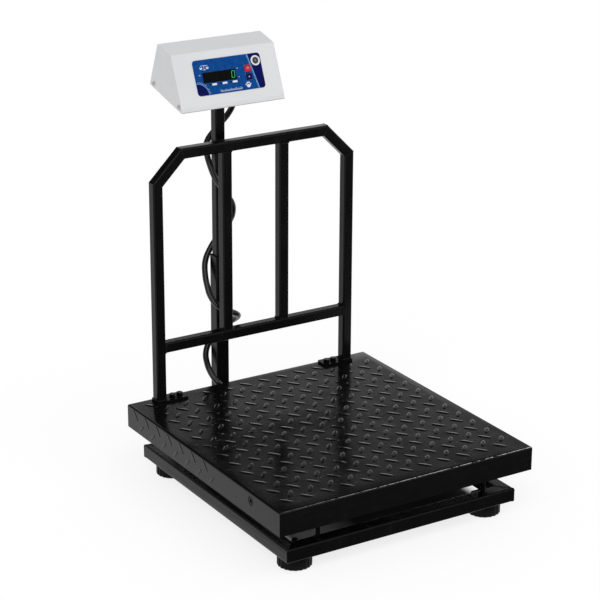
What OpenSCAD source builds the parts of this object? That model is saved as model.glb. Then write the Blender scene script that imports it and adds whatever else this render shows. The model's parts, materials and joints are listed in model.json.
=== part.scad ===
// Animal weighing scale. A chequered platform with a guard rail stands on a single load cell
// in a welded base on four levelling feet. A telescopic mast behind it carries the indicator.
// X runs left to right, Y front to back, Z up from the floor.

/* [Platform] */
// Width of the platform
plat_w = 500; // [420:5:700]
// Depth of the platform
plat_d = 520; // [440:5:700]
// Thickness of the chequered plate
plate_t = 3; // [2:0.5:4]
// Depth of the skirt, from the top face to its lower edge
skirt_h = 43; // [36:1:48]
// Outer radius of the folds along the left and right edges
bend_r = 4; // [3.5:0.5:8]
// Diameter of the screw hole in each side of the skirt
skirt_hole_d = 16; // [15:0.5:18]
// Distance of the side screws from the front edge
side_screw_y = 90; // [50:1:150]

/* [Chequer ribs] */
// Distance across between two ribs that point the same way
rib_pitch_x = 38.4; // [34:0.2:60]
// Distance from front to back between two ribs that point the same way
rib_pitch_y = 41.6; // [38:0.2:60]
// Place across of the rib nearest to the middle
rib_x = 13; // [0:0.1:17]
// Place from front to back of the rib nearest to the middle
rib_y = 22; // [0:0.1:24]
// Angle between a rib and the front edge
rib_angle = 51; // [40:1:55]
// Length of a rib
rib_l = 25; // [16:1:28]
// Width of a rib at its middle
rib_w = 5.6; // [3:0.2:8]
// Height of a rib above the plate
rib_h = 1.4; // [0.6:0.1:2]
// Height that a rib keeps at its ends
rib_end_h = 0.3; // [0.2:0.1:0.6]
// Plain margin between the ribs and the edges of the plate
rib_margin = 7; // [4:1:30]
// Distance from the front edge at which the pattern starts on the folded sides
side_rib_start = 190; // [0:5:400]

/* [Base frame] */
// Distance of the base frame inside the platform's edge at the left and right
base_inset_x = 23; // [10:1:50]
// Distance of the base frame inside the platform's edge at the front and back
base_inset_y = 15; // [8:1:18]
// Outer size of the base tubes
base_tube = 25; // [20:1:30]
// Wall of the square tubes
tube_wall = 2; // [1.5:0.1:3]
// Outer corner radius of the tubes
tube_r = 3; // [1:0.1:3.5]
// Side of the corner gussets that take the feet
gusset = 38; // [32:1:60]
// Thickness of the corner gussets
gusset_t = 5; // [3:0.5:8]
// Place of the rear cross tube behind the middle of the platform
rear_cross_y = 110; // [95:1:160]

/* [Levelling feet] */
// Height of the underside of the base above the floor
foot_h = 25; // [20:1:40]
// Diameter of the fluted foot
foot_d = 58; // [40:1:62]
// Number of flutes round a foot
flutes = 20; // [16:1:32]
// Radius of a flute
flute_r = 3; // [1.5:0.1:3.4]
// Distance of a foot's centre from the outer faces of the base
foot_inset = 37; // [35:1:50]
// Diameter of the threaded stud
stud_d = 10; // [8:1:14]
// Distance that a foot can be screwed out
foot_travel = 12; // [0:1:20]
// Diameter of the rubber pad under a foot
pad_d = 50; // [30:1:52]
// Height of the rubber pad below the fluted foot
pad_show = 2; // [1:0.5:4]

/* [Load cell] */
// Length of the load cell, front to back
cell_l = 150; // [140:1:180]
// Width of the load cell
cell_w = 30; // [24:1:40]
// Height of the load cell
cell_h = 40; // [36:1:50]
// Thickness of the spacers above and below the load cell
spacer_t = 5; // [3:0.5:8]
// Radius of the two bores that weaken the load cell
cell_bore_r = 13; // [10:0.5:15]
// Distance of those bores from the middle
cell_bore_y = 16; // [14:0.5:18]
// Distance between the two screws at each end
cell_screw_gap = 22; // [20:1:26]
// Distance of the outer screws from the ends
cell_screw_end = 13; // [10:1:16]
// Gap that the overload stops leave under the platform frame
stop_gap = 0.8; // [0.7:0.1:2]
// Place of the overload stops either side of the middle
stop_x = 165; // [100:1:170]

/* [Guard rail] */
// Outer size of the guard's tubes
guard_tube = 19; // [16:1:25]
// Distance of the guard's posts inside the platform's edge at the left and right
guard_inset = 45.5; // [40:0.5:80]
// Height of the guard above the platform
guard_h = 460; // [300:5:600]
// Distance of the guard's back face from the platform's back edge
guard_back = 9; // [8:1:14]
// Height and width of the sloping corners
guard_slope = 55; // [35:1:90]
// Height of the bottom rail's underside above the platform
rail_z = 92; // [60:1:160]
// Distance between the centres of the two inner bars
bar_gap = 116; // [60:1:220]
// Length of a foot plate
foot_plate_l = 60; // [54:1:80]
// Depth of a foot plate
foot_plate_d = 28; // [26:1:32]
// Thickness of a foot plate
foot_plate_t = 4; // [3:0.5:6]

/* [Mast] */
// Place of the mast to the left of the middle
mast_left = 45; // [0:1:100]
// Gap between the platform's back edge and the mast
mast_gap = 16; // [15:1:40]
// Outer size of the lower mast
lower_tube = 25; // [24:1:30]
// Height of the top of the lower mast above the floor
lower_top = 363; // [300:1:420]
// Outer size of the upper mast
upper_tube = 19; // [16:1:19]
// Gap round the upper mast inside the lower one, on each side
mast_fit = 0.4; // [0.2:0.1:0.8]
// Length of the upper mast inside the lower one
mast_lap = 80; // [60:1:120]
// Height of the head's underside above the floor, on the mast's axis
head_z = 663; // [645:1:800]
// Height of the socket above the underside of the base
socket_h = 42; // [38:1:46]
// Wall of the socket
socket_wall = 3; // [2:0.5:4]

/* [Head] */
// Width of the head
head_w = 204; // [190:1:260]
// Depth of the head's underside
head_d = 120; // [116:1:150]
// Height of the head
head_h = 82.5; // [78:0.5:100]
// Depth of the head's top
head_top = 48.5; // [40:0.5:60]
// Height of the front lip
lip_h = 8.5; // [6:0.5:12]
// Distance that the lip leans back
lip_back = 4; // [2:0.5:6]
// Distance of the top's back edge ahead of the underside's
head_rake = 11.5; // [5:0.5:16]
// Forward tilt of the head
head_tilt = 14; // [5:1:25]
// Thickness of the sheet metal
sheet_t = 1.2; // [1:0.1:2]
// Radius of the folds in the sheet metal
sheet_r = 2; // [1.8:0.1:3]
// Diameter of the relief holes in the upper rear corners
relief_d = 2.4; // [1:0.1:3]

/* [Front panel] */
// Width of the overlay
overlay_w = 134; // [130:1:150]
// Height of the overlay
overlay_h = 62; // [60:1:66]
// Corner radius of the overlay
overlay_r = 6; // [3:0.5:10]
// Thickness of the overlay
overlay_t = 0.6; // [0.3:0.1:1]
// Width of the display window
window_w = 65; // [60:1:70]
// Height of the display window
window_h = 18; // [16:0.5:20]
// Width and height of a key
key_size = 11.5; // [9:0.5:13]
// Travel of a key
key_travel = 0.4; // [0.2:0.1:0.6]
// Outer diameter of the ring seal
seal_d = 18; // [16:0.5:18]

/* [Cable] */
// Diameter of the sleeved cable
cable_d = 11; // [8:0.5:11]

/* [Hidden] */
$fn = 48;
run_fit = 0.05;        // radial clearance of a turning or sliding fit
screw_fit = 0.1;       // radial clearance of a screw in its hole
join = 0.2;            // depth that a rib runs into its plate

// Heights of the stack, from the floor up
base_top = foot_h + base_tube;
cell_z = base_top + spacer_t;
cell_top = cell_z + cell_h;
live_z = cell_top + spacer_t;
live_tube = 25;
live_top = live_z + live_tube;
plate_top = live_top + plate_t;

// The base frame
base_w = plat_w - 2 * base_inset_x;
base_d = plat_d - 2 * base_inset_y;
cross_w = 50;
cell_cross_y = cell_l / 2 - cell_screw_end - cell_screw_gap / 2;
foot_x = base_w / 2 - foot_inset;
foot_y = base_d / 2 - foot_inset;
nut_h = 8;
nut_af = 17;
m8 = 8;
m8_head_d = 13;
m8_head_h = 8;

// The frame under the plate
live_clear = 0.5;
live_w = plat_w - 2 * (plate_t + live_clear);
live_d = plat_d - 2 * (plate_t + live_clear);
live_rail_y = live_d / 2 - live_tube / 2;
side_head_d = 14;
side_head_h = 3.3;
stop_y = (base_d / 2 + live_d / 2 - live_tube) / 2;

// The guard
guard_y = plat_d / 2 - guard_back - guard_tube / 2;
guard_x = plat_w / 2 - guard_inset;
guard_z = plate_top + foot_plate_t;
guard_top = plate_top + guard_h;
mitre = guard_tube * tan(22.5);
foot_bolt_x = [foot_plate_l - guard_tube - 30, foot_plate_l - guard_tube - 15.5];
m6 = 6;
m6_head_af = 10;
m6_head_h = 4;
m6_washer_d = 12;
m6_washer_t = 1.2;

// The mast
mast_x = -mast_left;
mast_y = plat_d / 2 + mast_gap + lower_tube / 2;
lower_in = upper_tube + 2 * mast_fit;
socket_in = lower_tube + 2 * 0.3;
socket_out = socket_in + 2 * socket_wall;
socket_floor = 3;
upper_z = lower_top - mast_lap;
bracket_t = 3;
bracket_w = 50;
bracket_d = 70;
bracket_screw_x = 18;
bracket_screw_y = 28;
socket_bolt_x = 32;
socket_plate_t = 5;
weld_nut_h = 5;
clamp_z = lower_top - 18;
socket_clamp_z = foot_h + 30;

// The head, in its own frame: origin at the middle of the underside
front_y = -head_d / 2;
back_y = head_d / 2;
top_back_y = back_y - head_rake;
top_front_y = top_back_y - head_top;
head_profile = [[front_y, 0], [back_y, 0], [top_back_y, head_h],
    [top_front_y, head_h], [front_y + lip_back, lip_h]];
face_angle = atan2(head_h - lip_h, top_front_y - front_y - lip_back);
face_l = norm([head_h - lip_h, top_front_y - front_y - lip_back]);
back_angle = atan2(head_h, -head_rake);
overlay_x = 1.75;
overlay_y = face_l / 2 + 1.4;
window_x = overlay_x - overlay_w / 2 + 48;
window_y = overlay_y - 0.8;
window_t = overlay_t + 0.2;
window_lap = 2;
key_x = overlay_x + 38;
key_red_y = overlay_y + 6.2;
key_blue_y = overlay_y - 9;
key_t = 1.1;
key_stem_d = 5;
key_corner = 1;
flange_h = 12;
board_gap = 9.5;       // distance of the circuit board behind the sheet metal's outer face
board_t = 1.6;
board_w = 100;
board_h = 46;
key_stem_l = 5;
tact_size = 6;
tact_h = board_gap - sheet_t - key_stem_l + 0.1;
seal_x = overlay_x + 56.3;
seal_y = overlay_y + 17.6;
seal_shank_d = 12;
gland_x = 37;
gland_d = 16;
m4 = 4;
m4_head_d = 7;
m4_head_h = 2.4;
side_screw_z = 8;
side_screw_ys = [front_y + 13, back_y - 14];
gland_af = 20;
switch_x = -46;
inlet_x = 40;
rear_z = 36;
rocker_tilt = 10;

// The middle of the whole scale's depth lies over the origin
head_reach = mast_y + max([for (f = fillets(head_profile, sheet_r))
    f[0][0] * cos(head_tilt) - f[0][1] * sin(head_tilt)]) + sheet_r;
mid_y = (head_reach - plat_d / 2) / 2;

// The cable's route round the mast: across and back from the mast's axis, and height above the floor
cable_down = [[37, -1.9, 670.8], [37, 2.2, 654.3], [37, 4.4, 645.5], [36, 9, 633], [32, 15, 619],
    [24, 20, 606], [13, 22, 595], [2, 22, 584],
    [-9, 20, 573], [-17, 13, 561], [-19, 5, 548], [-18, -4, 531], [-14, -13, 512], [-4, -18, 494],
    [8, -18, 477], [19, -15, 460], [25, -7, 442], [26, 4, 424], [20, 16, 405], [9, 23, 387],
    [-5, 24, 368], [-17, 20, 349], [-23, 11, 328], [-25, 0, 308], [-24, -10, 291], [-16, -20, 276],
    [-3, -22, 266], [12, -21, 258], [26, -17, 250], [33, -8, 241], [30, 8, 229], [20, 20, 216],
    [6, 25, 202], [-9, 24, 188], [-20, 17, 173], [-24, 6, 157], [-23, -7, 141], [-16, -18, 126],
    [-4, -21.5, 113], [8, -22, 102], [18, -22, 91], [24, -22, 80], [27, -25, 70], [27, -33, 62],
    [27, -45, 58], [27, -62, 56]];
// The rest of its route over the base: across and back from the platform's middle, and height
cable_over = [[-18, 200, 54], [-20, 170, 53], [-24, 140, 55], [-29, 118, 56.5], [-34, 95, 56.5],
    [-40, 65, 56], [-44, 35, 58], [-46, 5, 63], [-46, -20, 69], [-42, -40, 73], [-33, -50, 75]];
cable_boss = 4;
cable_end = [-cell_w / 2 - cable_boss, -52, cell_z + cell_h / 2];

// ---------- shared shapes ----------

module placed() {
    translate([0, -mid_y, 0]) children();
}

// A rectangle with round corners, centred
module round_rect(w, h, r) {
    square([w - 2 * r, h], center = true);
    square([w, h - 2 * r], center = true);
    for (x = [-1, 1], y = [-1, 1])
        translate([x * (w / 2 - r), y * (h / 2 - r)]) circle(r = r);
}

module tube_profile(w, h, wall) {
    difference() {
        round_rect(w, h, tube_r);
        round_rect(w - 2 * wall, h - 2 * wall, max(tube_r - wall, 0.2));
    }
}

// Tubes along X, Y and Z, centred on their axis
module tube_x(x0, x1, y, z, w, h, wall = tube_wall) {
    translate([x0, y, z]) rotate([90, 0, 90]) linear_extrude(x1 - x0) tube_profile(w, h, wall);
}

module tube_y(y0, y1, x, z, w, h, wall = tube_wall) {
    translate([x, y1, z]) rotate([90, 0, 0]) linear_extrude(y1 - y0) tube_profile(w, h, wall);
}

module tube_z(z0, z1, x, y, w, wall = tube_wall) {
    translate([x, y, z0]) linear_extrude(z1 - z0) tube_profile(w, w, wall);
}

module hex_bolt(d, af, head_h, length) {
    cylinder(d = af / cos(30), h = head_h, $fn = 6);
    translate([0, 0, -length]) cylinder(d = d, h = length);
}

// A cap screw: the head stands on z = 0 and the shank goes down
module cap_screw(d, head_d, head_h, length) {
    difference() {
        cylinder(d = head_d, h = head_h);
        translate([0, 0, head_h / 2]) cylinder(d = head_d * 0.5, h = head_h, $fn = 6);
    }
    translate([0, 0, -length]) cylinder(d = d, h = length);
}

// ---------- base frame ----------

module base_rail_front_back(side) {
    w = base_w / 2;
    d = base_d / 2;
    color("#141415") placed() difference() {
        intersection() {
            tube_x(-w, w, side * (d - base_tube / 2), foot_h + base_tube / 2, base_tube, base_tube);
            translate([0, 0, foot_h - 1]) linear_extrude(base_tube + 2)
                polygon([[-w, side * d], [w, side * d], [w - base_tube, side * (d - base_tube)],
                    [-w + base_tube, side * (d - base_tube)]]);
        }
        for (x = [-1, 1])
            translate([x * stop_x, side * stop_y, base_top - base_tube / 2])
                cylinder(r = m8 / 2 + screw_fit, h = base_tube);
        if (side > 0)
            for (x = [-1, 1])
                translate([mast_x + x * socket_bolt_x, d + 1, foot_h + base_tube / 2])
                    rotate([90, 0, 0]) cylinder(r = m8 / 2 + screw_fit, h = base_tube + 2);
    }
}

module base_rail_side(side) {
    w = base_w / 2;
    d = base_d / 2;
    color("#141415") placed() intersection() {
        tube_y(-d, d, side * (w - base_tube / 2), foot_h + base_tube / 2, base_tube, base_tube);
        translate([0, 0, foot_h - 1]) linear_extrude(base_tube + 2)
            polygon([[side * w, -d], [side * w, d], [side * (w - base_tube), d - base_tube],
                [side * (w - base_tube), -d + base_tube]]);
    }
}

module base_left_rail() { base_rail_side(-1); }
module base_right_rail() { base_rail_side(1); }
module base_front_rail() { base_rail_front_back(-1); }
module base_rear_rail() { base_rail_front_back(1); }

// Cross tube with the welded spacer that the fixed end of the load cell stands on
module base_cell_cross() {
    in = base_w / 2 - base_tube;
    color("#141415") placed() difference() {
        union() {
            tube_x(-in, in, -cell_cross_y, foot_h + base_tube / 2, cross_w, base_tube);
            translate([-cell_w / 2, -cell_cross_y - cross_w / 2 + tube_r, base_top - join])
                cube([cell_w, cross_w - 2 * tube_r, spacer_t + join]);
        }
        for (y = [-1, 1]) translate([0, -cell_cross_y + y * cell_screw_gap / 2, 0]) {
            translate([0, 0, foot_h - 1]) cylinder(d = m8_head_d + 2, h = base_tube - tube_wall + 1);
            translate([0, 0, foot_h]) cylinder(r = m8 / 2 + screw_fit, h = base_tube + spacer_t + 1);
        }
    }
}

module base_rear_cross() {
    in = base_w / 2 - base_tube;
    color("#141415") placed() tube_x(-in, in, rear_cross_y, foot_h + base_tube / 2, base_tube, base_tube);
}

// Plates in the corners with a welded nut for each foot
module corner_gussets() {
    x1 = base_w / 2 - base_tube;
    y1 = base_d / 2 - base_tube;
    color("#1b1b1c") placed() for (x = [-1, 1], y = [-1, 1]) scale([x, y, 1]) difference() {
        union() {
            translate([0, 0, foot_h]) linear_extrude(gusset_t)
                polygon([[x1, y1], [x1 - gusset, y1], [x1 - gusset, y1 - gusset / 2],
                    [x1 - gusset / 2, y1 - gusset], [x1, y1 - gusset]]);
            translate([foot_x, foot_y, foot_h + gusset_t - join])
                cylinder(d = nut_af / cos(30), h = nut_h + join, $fn = 6);
        }
        translate([foot_x, foot_y, foot_h - 1]) cylinder(r = stud_d / 2 + run_fit, h = gusset_t + nut_h + 2);
    }
}

// ---------- levelling feet ----------

module foot_knob(x, y) {
    body_h = foot_h - pad_show;
    stud_l = gusset_t + nut_h + foot_travel - 4;
    color("#101010") placed() translate([x * foot_x, y * foot_y, pad_show]) {
        difference() {
            intersection() {
                linear_extrude(body_h) difference() {
                    circle(d = foot_d, $fn = 96);
                    for (i = [0 : flutes - 1]) rotate(i * 360 / flutes)
                        translate([foot_d / 2 + flute_r * 0.35, 0]) circle(r = flute_r, $fn = 24);
                }
                rotate_extrude($fn = 96) polygon([[0, 0], [foot_d / 2 - 0.6, 0], [foot_d / 2, 0.6],
                    [foot_d / 2, body_h - 2.5], [foot_d / 2 - 2.5, body_h], [0, body_h]]);
            }
            translate([0, 0, -1]) cylinder(r = pad_d / 2 + run_fit, h = 4 + 1);
        }
        translate([0, 0, body_h - join]) cylinder(d = stud_d, h = stud_l + join);
    }
}

module foot_pad(x, y) {
    color("#1c1c1c") placed() translate([x * foot_x, y * foot_y, 0])
        rotate_extrude() polygon([[0, 0], [pad_d / 2 - 1, 0], [pad_d / 2, 1],
            [pad_d / 2, pad_show + 4], [0, pad_show + 4]]);
}

module foot_knob_fl() { foot_knob(-1, -1); }
module foot_knob_fr() { foot_knob(1, -1); }
module foot_knob_rl() { foot_knob(-1, 1); }
module foot_knob_rr() { foot_knob(1, 1); }
module foot_pad_fl() { foot_pad(-1, -1); }
module foot_pad_fr() { foot_pad(1, -1); }
module foot_pad_rl() { foot_pad(-1, 1); }
module foot_pad_rr() { foot_pad(1, 1); }

// ---------- load cell ----------

// Bending beam with two joined bores, fixed at the front end and loaded at the back end
module load_cell() {
    color("#b9bcc0") placed() {
        difference() {
            translate([-cell_w / 2, -cell_l / 2, cell_z]) cube([cell_w, cell_l, cell_h]);
            for (y = [-1, 1]) translate([0, y * cell_bore_y, cell_z + cell_h / 2]) rotate([0, 90, 0])
                cylinder(r = cell_bore_r, h = cell_w + 2, center = true);
            translate([-cell_w / 2 - 1, -cell_bore_y, cell_z + cell_h / 2 - cell_bore_r / 2])
                cube([cell_w + 2, 2 * cell_bore_y, cell_bore_r]);
            for (y = [-1, 1], s = [-1, 1])
                translate([0, y * cell_cross_y + s * cell_screw_gap / 2, y < 0 ? cell_z - 1 : cell_top - 20])
                    cylinder(r = m8 / 2 + screw_fit, h = 21);
        }
        translate(cable_end) rotate([0, 90, 0]) cylinder(d = cable_d + 4, h = cable_boss + join);
    }
}

module cell_screws_lower() {
    color("#8c8f93") placed() for (s = [-1, 1])
        translate([0, -cell_cross_y + s * cell_screw_gap / 2, base_top - tube_wall]) rotate([180, 0, 0])
            cap_screw(m8, m8_head_d, m8_head_h, tube_wall + spacer_t + 18);
}

module cell_screws_upper() {
    color("#8c8f93") placed() for (s = [-1, 1])
        translate([0, cell_cross_y + s * cell_screw_gap / 2, live_z + tube_wall])
            cap_screw(m8, m8_head_d, m8_head_h, tube_wall + spacer_t + 18);
}

// Set screws with lock nuts on the base, just under the platform frame
module overload_stops() {
    color("#232324") placed() for (x = [-1, 1], y = [-1, 1]) translate([x * stop_x, y * stop_y, 0]) {
        translate([0, 0, base_top - 8]) cylinder(d = m8, h = live_z - stop_gap - base_top + 8);
        translate([0, 0, base_top]) cylinder(d = m8_head_d / cos(30), h = 6.5, $fn = 6);
    }
}

// ---------- frame under the plate ----------

module live_side(side) {
    in = live_d / 2 - live_tube;
    x = side * (live_w / 2 - live_tube / 2);
    color("#161617") placed() difference() {
        tube_y(-in, in, x, live_z + live_tube / 2, live_tube, live_tube);
        translate([side * (live_w / 2 + 1), side_screw_y - plat_d / 2, live_z + live_tube / 2])
            rotate([0, -90 * side, 0]) cylinder(r = m8 / 2 + screw_fit, h = tube_wall + 2);
    }
}

module live_left_rail() { live_side(-1); }
module live_right_rail() { live_side(1); }

module live_front_rail() {
    color("#161617") placed()
        tube_x(-live_w / 2, live_w / 2, -live_rail_y, live_z + live_tube / 2, live_tube, live_tube);
}

module live_rear_rail() {
    color("#161617") placed() difference() {
        tube_x(-live_w / 2, live_w / 2, live_rail_y, live_z + live_tube / 2, live_tube, live_tube);
        guard_bolt_places() translate([0, 0, -live_tube / 2]) cylinder(r = m6 / 2 + screw_fit, h = live_tube);
    }
}

module live_cross() {
    in = live_w / 2 - live_tube;
    color("#161617") placed() difference() {
        union() {
            tube_x(-in, in, cell_cross_y, live_z + live_tube / 2, cross_w, live_tube);
            translate([-cell_w / 2, cell_cross_y - cross_w / 2 + tube_r, cell_top])
                cube([cell_w, cross_w - 2 * tube_r, spacer_t + join]);
        }
        for (y = [-1, 1]) translate([0, cell_cross_y + y * cell_screw_gap / 2, 0]) {
            translate([0, 0, live_z + tube_wall]) cylinder(d = m8_head_d + 2, h = live_tube);
            translate([0, 0, cell_top - 1]) cylinder(r = m8 / 2 + screw_fit, h = spacer_t + tube_wall + 2);
        }
    }
}

// ---------- platform tray ----------

// A lens: where two circles overlap
module rib_outline() {
    r = (rib_l * rib_l / 4 + rib_w * rib_w / 4) / rib_w;
    intersection() {
        translate([0, r - rib_w / 2]) circle(r = r, $fn = 72);
        translate([0, -r + rib_w / 2]) circle(r = r, $fn = 72);
    }
}

// One raised rib, crowned along its length, on the plane z = 0
module rib(turn) {
    fall = rib_h - rib_end_h;
    crown_r = (rib_l * rib_l / 4 + fall * fall) / (2 * fall);
    rotate(turn) intersection() {
        translate([0, 0, -join]) linear_extrude(rib_h + join) rib_outline();
        translate([0, 0, rib_h - crown_r]) rotate([90, 0, 0])
            cylinder(r = crown_r, h = 2 * rib_w, center = true, $fn = 72);
    }
}

// Both families of ribs over a w by d area; the second lattice is shifted by half a pitch both ways
module rib_field(w, d, clear = []) {
    reach_x = rib_l / 2 * cos(rib_angle) + rib_margin;
    reach_y = rib_l / 2 * sin(rib_angle) + rib_margin;
    nx = ceil(w / rib_pitch_x);
    ny = ceil(d / rib_pitch_y);
    for (i = [-nx : nx], j = [-ny : ny], k = [0, 1]) {
        x = rib_x + (i + k / 2) * rib_pitch_x;
        y = rib_y + (j + k / 2) * rib_pitch_y;
        covered = [for (c = clear) if (abs(x - c[0]) < c[2] && abs(y - c[1]) < c[3]) 1];
        if (abs(x) < w / 2 - reach_x && abs(y) < d / 2 - reach_y && len(covered) == 0)
            translate([x, y, 0]) rib(k == 0 ? -rib_angle : rib_angle);
    }
}

// A block with both top edges of its cross-section rounded, along Y
module round_top_bar(w, h, d, r) {
    rotate([90, 0, 0]) linear_extrude(d, center = true) {
        translate([-w / 2, 0]) square([w, h - r]);
        translate([-w / 2 + r, 0]) square([w - 2 * r, h]);
        for (x = [-1, 1]) translate([x * (w / 2 - r), h - r]) circle(r = r);
    }
}

// A block rounded along all four top edges, which meet in mitres
module round_top_block(w, d, h, r) {
    intersection() {
        round_top_bar(w, h, d, r);
        rotate(90) round_top_bar(d, h, w, r);
    }
}

// Plate folded down on four sides
module tray_shell() {
    translate([0, 0, plate_top - skirt_h]) difference() {
        round_top_block(plat_w, plat_d, skirt_h, bend_r);
        translate([0, 0, -1]) round_top_block(plat_w - 2 * plate_t, plat_d - 2 * plate_t,
            skirt_h - plate_t + 1, bend_r - plate_t);
    }
}

module platform_tray() {
    fx = guard_x - foot_plate_l / 2;
    reach = rib_l / 2 * sin(rib_angle) + 1;
    color("#1a1a1b") placed() difference() {
        union() {
            tray_shell();
            translate([0, 0, plate_top]) rib_field(plat_w, plat_d,
                [for (s = [-1, 1]) [s * fx, guard_y, foot_plate_l / 2 + reach, foot_plate_d / 2 + reach]]);
            for (s = [-1, 1]) translate([s * plat_w / 2, 0, plate_top - skirt_h / 2])
                rotate([90, 0, 90 * s]) side_ribs(s);
        }
        for (s = [-1, 1]) translate([s * (plat_w / 2 + 4), side_screw_y - plat_d / 2, live_z + live_tube / 2])
            rotate([0, -90 * s, 0]) cylinder(d = skirt_hole_d, h = plate_t + 6);
        guard_bolt_places() translate([0, 0, -plate_t - 1]) cylinder(r = m6 / 2 + screw_fit, h = plate_t + 2);
    }
}

// The pattern goes on down the folded left and right sides, in two rows, but not near the front
module side_ribs(s) {
    n = ceil(plat_d / 2 / rib_pitch_y);
    for (i = [-n : n], k = [0, 1]) {
        y = rib_y + (i + k / 2) * rib_pitch_y;
        if (y + plat_d / 2 - rib_l / 2 > side_rib_start && y < plat_d / 2 - rib_l / 2 - rib_margin)
            translate([s * y, (0.5 - k) * rib_pitch_x / 2, 0]) rib(k == 0 ? -45 : 45);
    }
}

module side_screws() {
    color("#111111") placed() for (s = [-1, 1])
        translate([s * live_w / 2, side_screw_y - plat_d / 2, live_z + live_tube / 2])
            rotate([0, 90 * s, 0]) cap_screw(m8, side_head_d, side_head_h, tube_wall + 8);
}

// ---------- guard rail ----------

module guard_cut(points) {
    intersection() {
        children();
        translate([0, guard_y + guard_tube, 0]) rotate([90, 0, 0]) linear_extrude(2 * guard_tube)
            polygon(points);
    }
}

module guard_post(side) {
    knee = guard_top - guard_slope;
    color("#121213") placed() guard_cut([[side * guard_x, guard_z], [side * guard_x, knee],
        [side * (guard_x - guard_tube), knee - mitre], [side * (guard_x - guard_tube), guard_z]])
        tube_z(guard_z, guard_top, side * (guard_x - guard_tube / 2), guard_y, guard_tube);
}

module guard_corner(side) {
    knee = guard_top - guard_slope;
    color("#121213") placed() guard_cut([[side * guard_x, knee], [side * (guard_x - guard_slope), guard_top],
        [side * (guard_x - guard_slope - mitre), guard_top - guard_tube],
        [side * (guard_x - guard_tube), knee - mitre]])
        translate([side * (guard_x - guard_slope / 2), 0, guard_top - guard_slope / 2])
            rotate([0, 45 * side, 0])
                tube_x(-guard_slope, guard_slope, guard_y, -guard_tube / 2, guard_tube, guard_tube);
}

module guard_left_post() { guard_post(-1); }
module guard_right_post() { guard_post(1); }
module guard_left_corner() { guard_corner(-1); }
module guard_right_corner() { guard_corner(1); }

module guard_top_rail() {
    x = guard_x - guard_slope;
    color("#121213") placed() guard_cut([[-x, guard_top], [x, guard_top],
        [x - mitre, guard_top - guard_tube], [-x + mitre, guard_top - guard_tube]])
        tube_x(-guard_x, guard_x, guard_y, guard_top - guard_tube / 2, guard_tube, guard_tube);
}

module guard_bottom_rail() {
    color("#121213") placed() tube_x(-guard_x + guard_tube, guard_x - guard_tube, guard_y,
        plate_top + rail_z + guard_tube / 2, guard_tube, guard_tube);
}

module guard_bar(side) {
    color("#121213") placed() tube_z(plate_top + rail_z + guard_tube, guard_top - guard_tube,
        side * bar_gap / 2, guard_y, guard_tube);
}

module guard_left_bar() { guard_bar(-1); }
module guard_right_bar() { guard_bar(1); }

// Where the guard's bolts go through the plate, on its top face
module guard_bolt_places() {
    for (s = [-1, 1], x = foot_bolt_x)
        translate([s * (guard_x - foot_plate_l + x), guard_y, plate_top]) children();
}

module guard_foot(side) {
    x = side * (guard_x - foot_plate_l / 2);
    color("#121213") placed() difference() {
        translate([x, guard_y, plate_top]) linear_extrude(foot_plate_t)
            round_rect(foot_plate_l, foot_plate_d, 2);
        guard_bolt_places() cylinder(r = m6 / 2 + screw_fit, h = 2 * foot_plate_t, center = true);
    }
}

module guard_left_foot() { guard_foot(-1); }
module guard_right_foot() { guard_foot(1); }

module guard_bolts() {
    color("#2a2a2b") placed() guard_bolt_places() translate([0, 0, foot_plate_t]) {
        cylinder(d = m6_washer_d, h = m6_washer_t);
        translate([0, 0, m6_washer_t])
            hex_bolt(m6, m6_head_af, m6_head_h, m6_washer_t + foot_plate_t + plate_t + tube_wall + 8);
    }
}

// ---------- mast ----------

module weld_nut(y, z) {
    translate([mast_x, mast_y + y - join, z]) rotate([-90, 0, 0])
        cylinder(d = m6_head_af / cos(30), h = weld_nut_h + join, $fn = 6);
}

module mast_socket() {
    back = base_d / 2;
    front = mast_y - socket_out / 2;
    plate_w = 2 * socket_bolt_x + 20;
    color("#141415") placed() difference() {
        union() {
            translate([mast_x, mast_y, foot_h]) linear_extrude(socket_h)
                difference() {
                    round_rect(socket_out, socket_out, tube_r);
                    square(socket_in, center = true);
                }
            translate([mast_x, mast_y, foot_h]) linear_extrude(socket_floor)
                round_rect(socket_out, socket_out, tube_r);
            translate([mast_x - plate_w / 2, back, foot_h]) cube([plate_w, socket_plate_t, base_tube]);
            for (x = [-1, 1]) translate([mast_x + x * (socket_out / 2 - 4) - 2, back + 1, foot_h])
                cube([4, front - back, base_tube]);
            weld_nut(socket_out / 2, socket_clamp_z);
        }
        for (x = [-1, 1]) translate([mast_x + x * socket_bolt_x, back - 1, foot_h + base_tube / 2])
            rotate([-90, 0, 0]) cylinder(r = m8 / 2 + screw_fit, h = socket_plate_t + 2);
        translate([mast_x, mast_y, socket_clamp_z]) rotate([-90, 0, 0])
            cylinder(r = m6 / 2 + screw_fit, h = 30);
    }
}

// Bolts through the base's rear rail, with nuts on its inner side
module mast_bolts() {
    color("#8c8f93") placed() for (x = [-1, 1])
        translate([mast_x + x * socket_bolt_x, base_d / 2 + socket_plate_t, foot_h + base_tube / 2])
            rotate([-90, 0, 0]) {
                hex_bolt(m8, m8_head_d, 5.3, socket_plate_t + base_tube + 10);
                translate([0, 0, -socket_plate_t - base_tube - 6.5])
                    cylinder(d = m8_head_d / cos(30), h = 6.5, $fn = 6);
            }
}

module lower_mast() {
    z0 = foot_h + socket_floor;
    color("#131314") placed() difference() {
        union() {
            translate([mast_x, mast_y, z0]) linear_extrude(lower_top - z0) difference() {
                round_rect(lower_tube, lower_tube, tube_r);
                square(lower_in, center = true);
            }
            weld_nut(lower_tube / 2, clamp_z);
        }
        translate([mast_x, mast_y, clamp_z]) rotate([-90, 0, 0]) cylinder(r = m6 / 2 + screw_fit, h = 40);
    }
}

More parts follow.
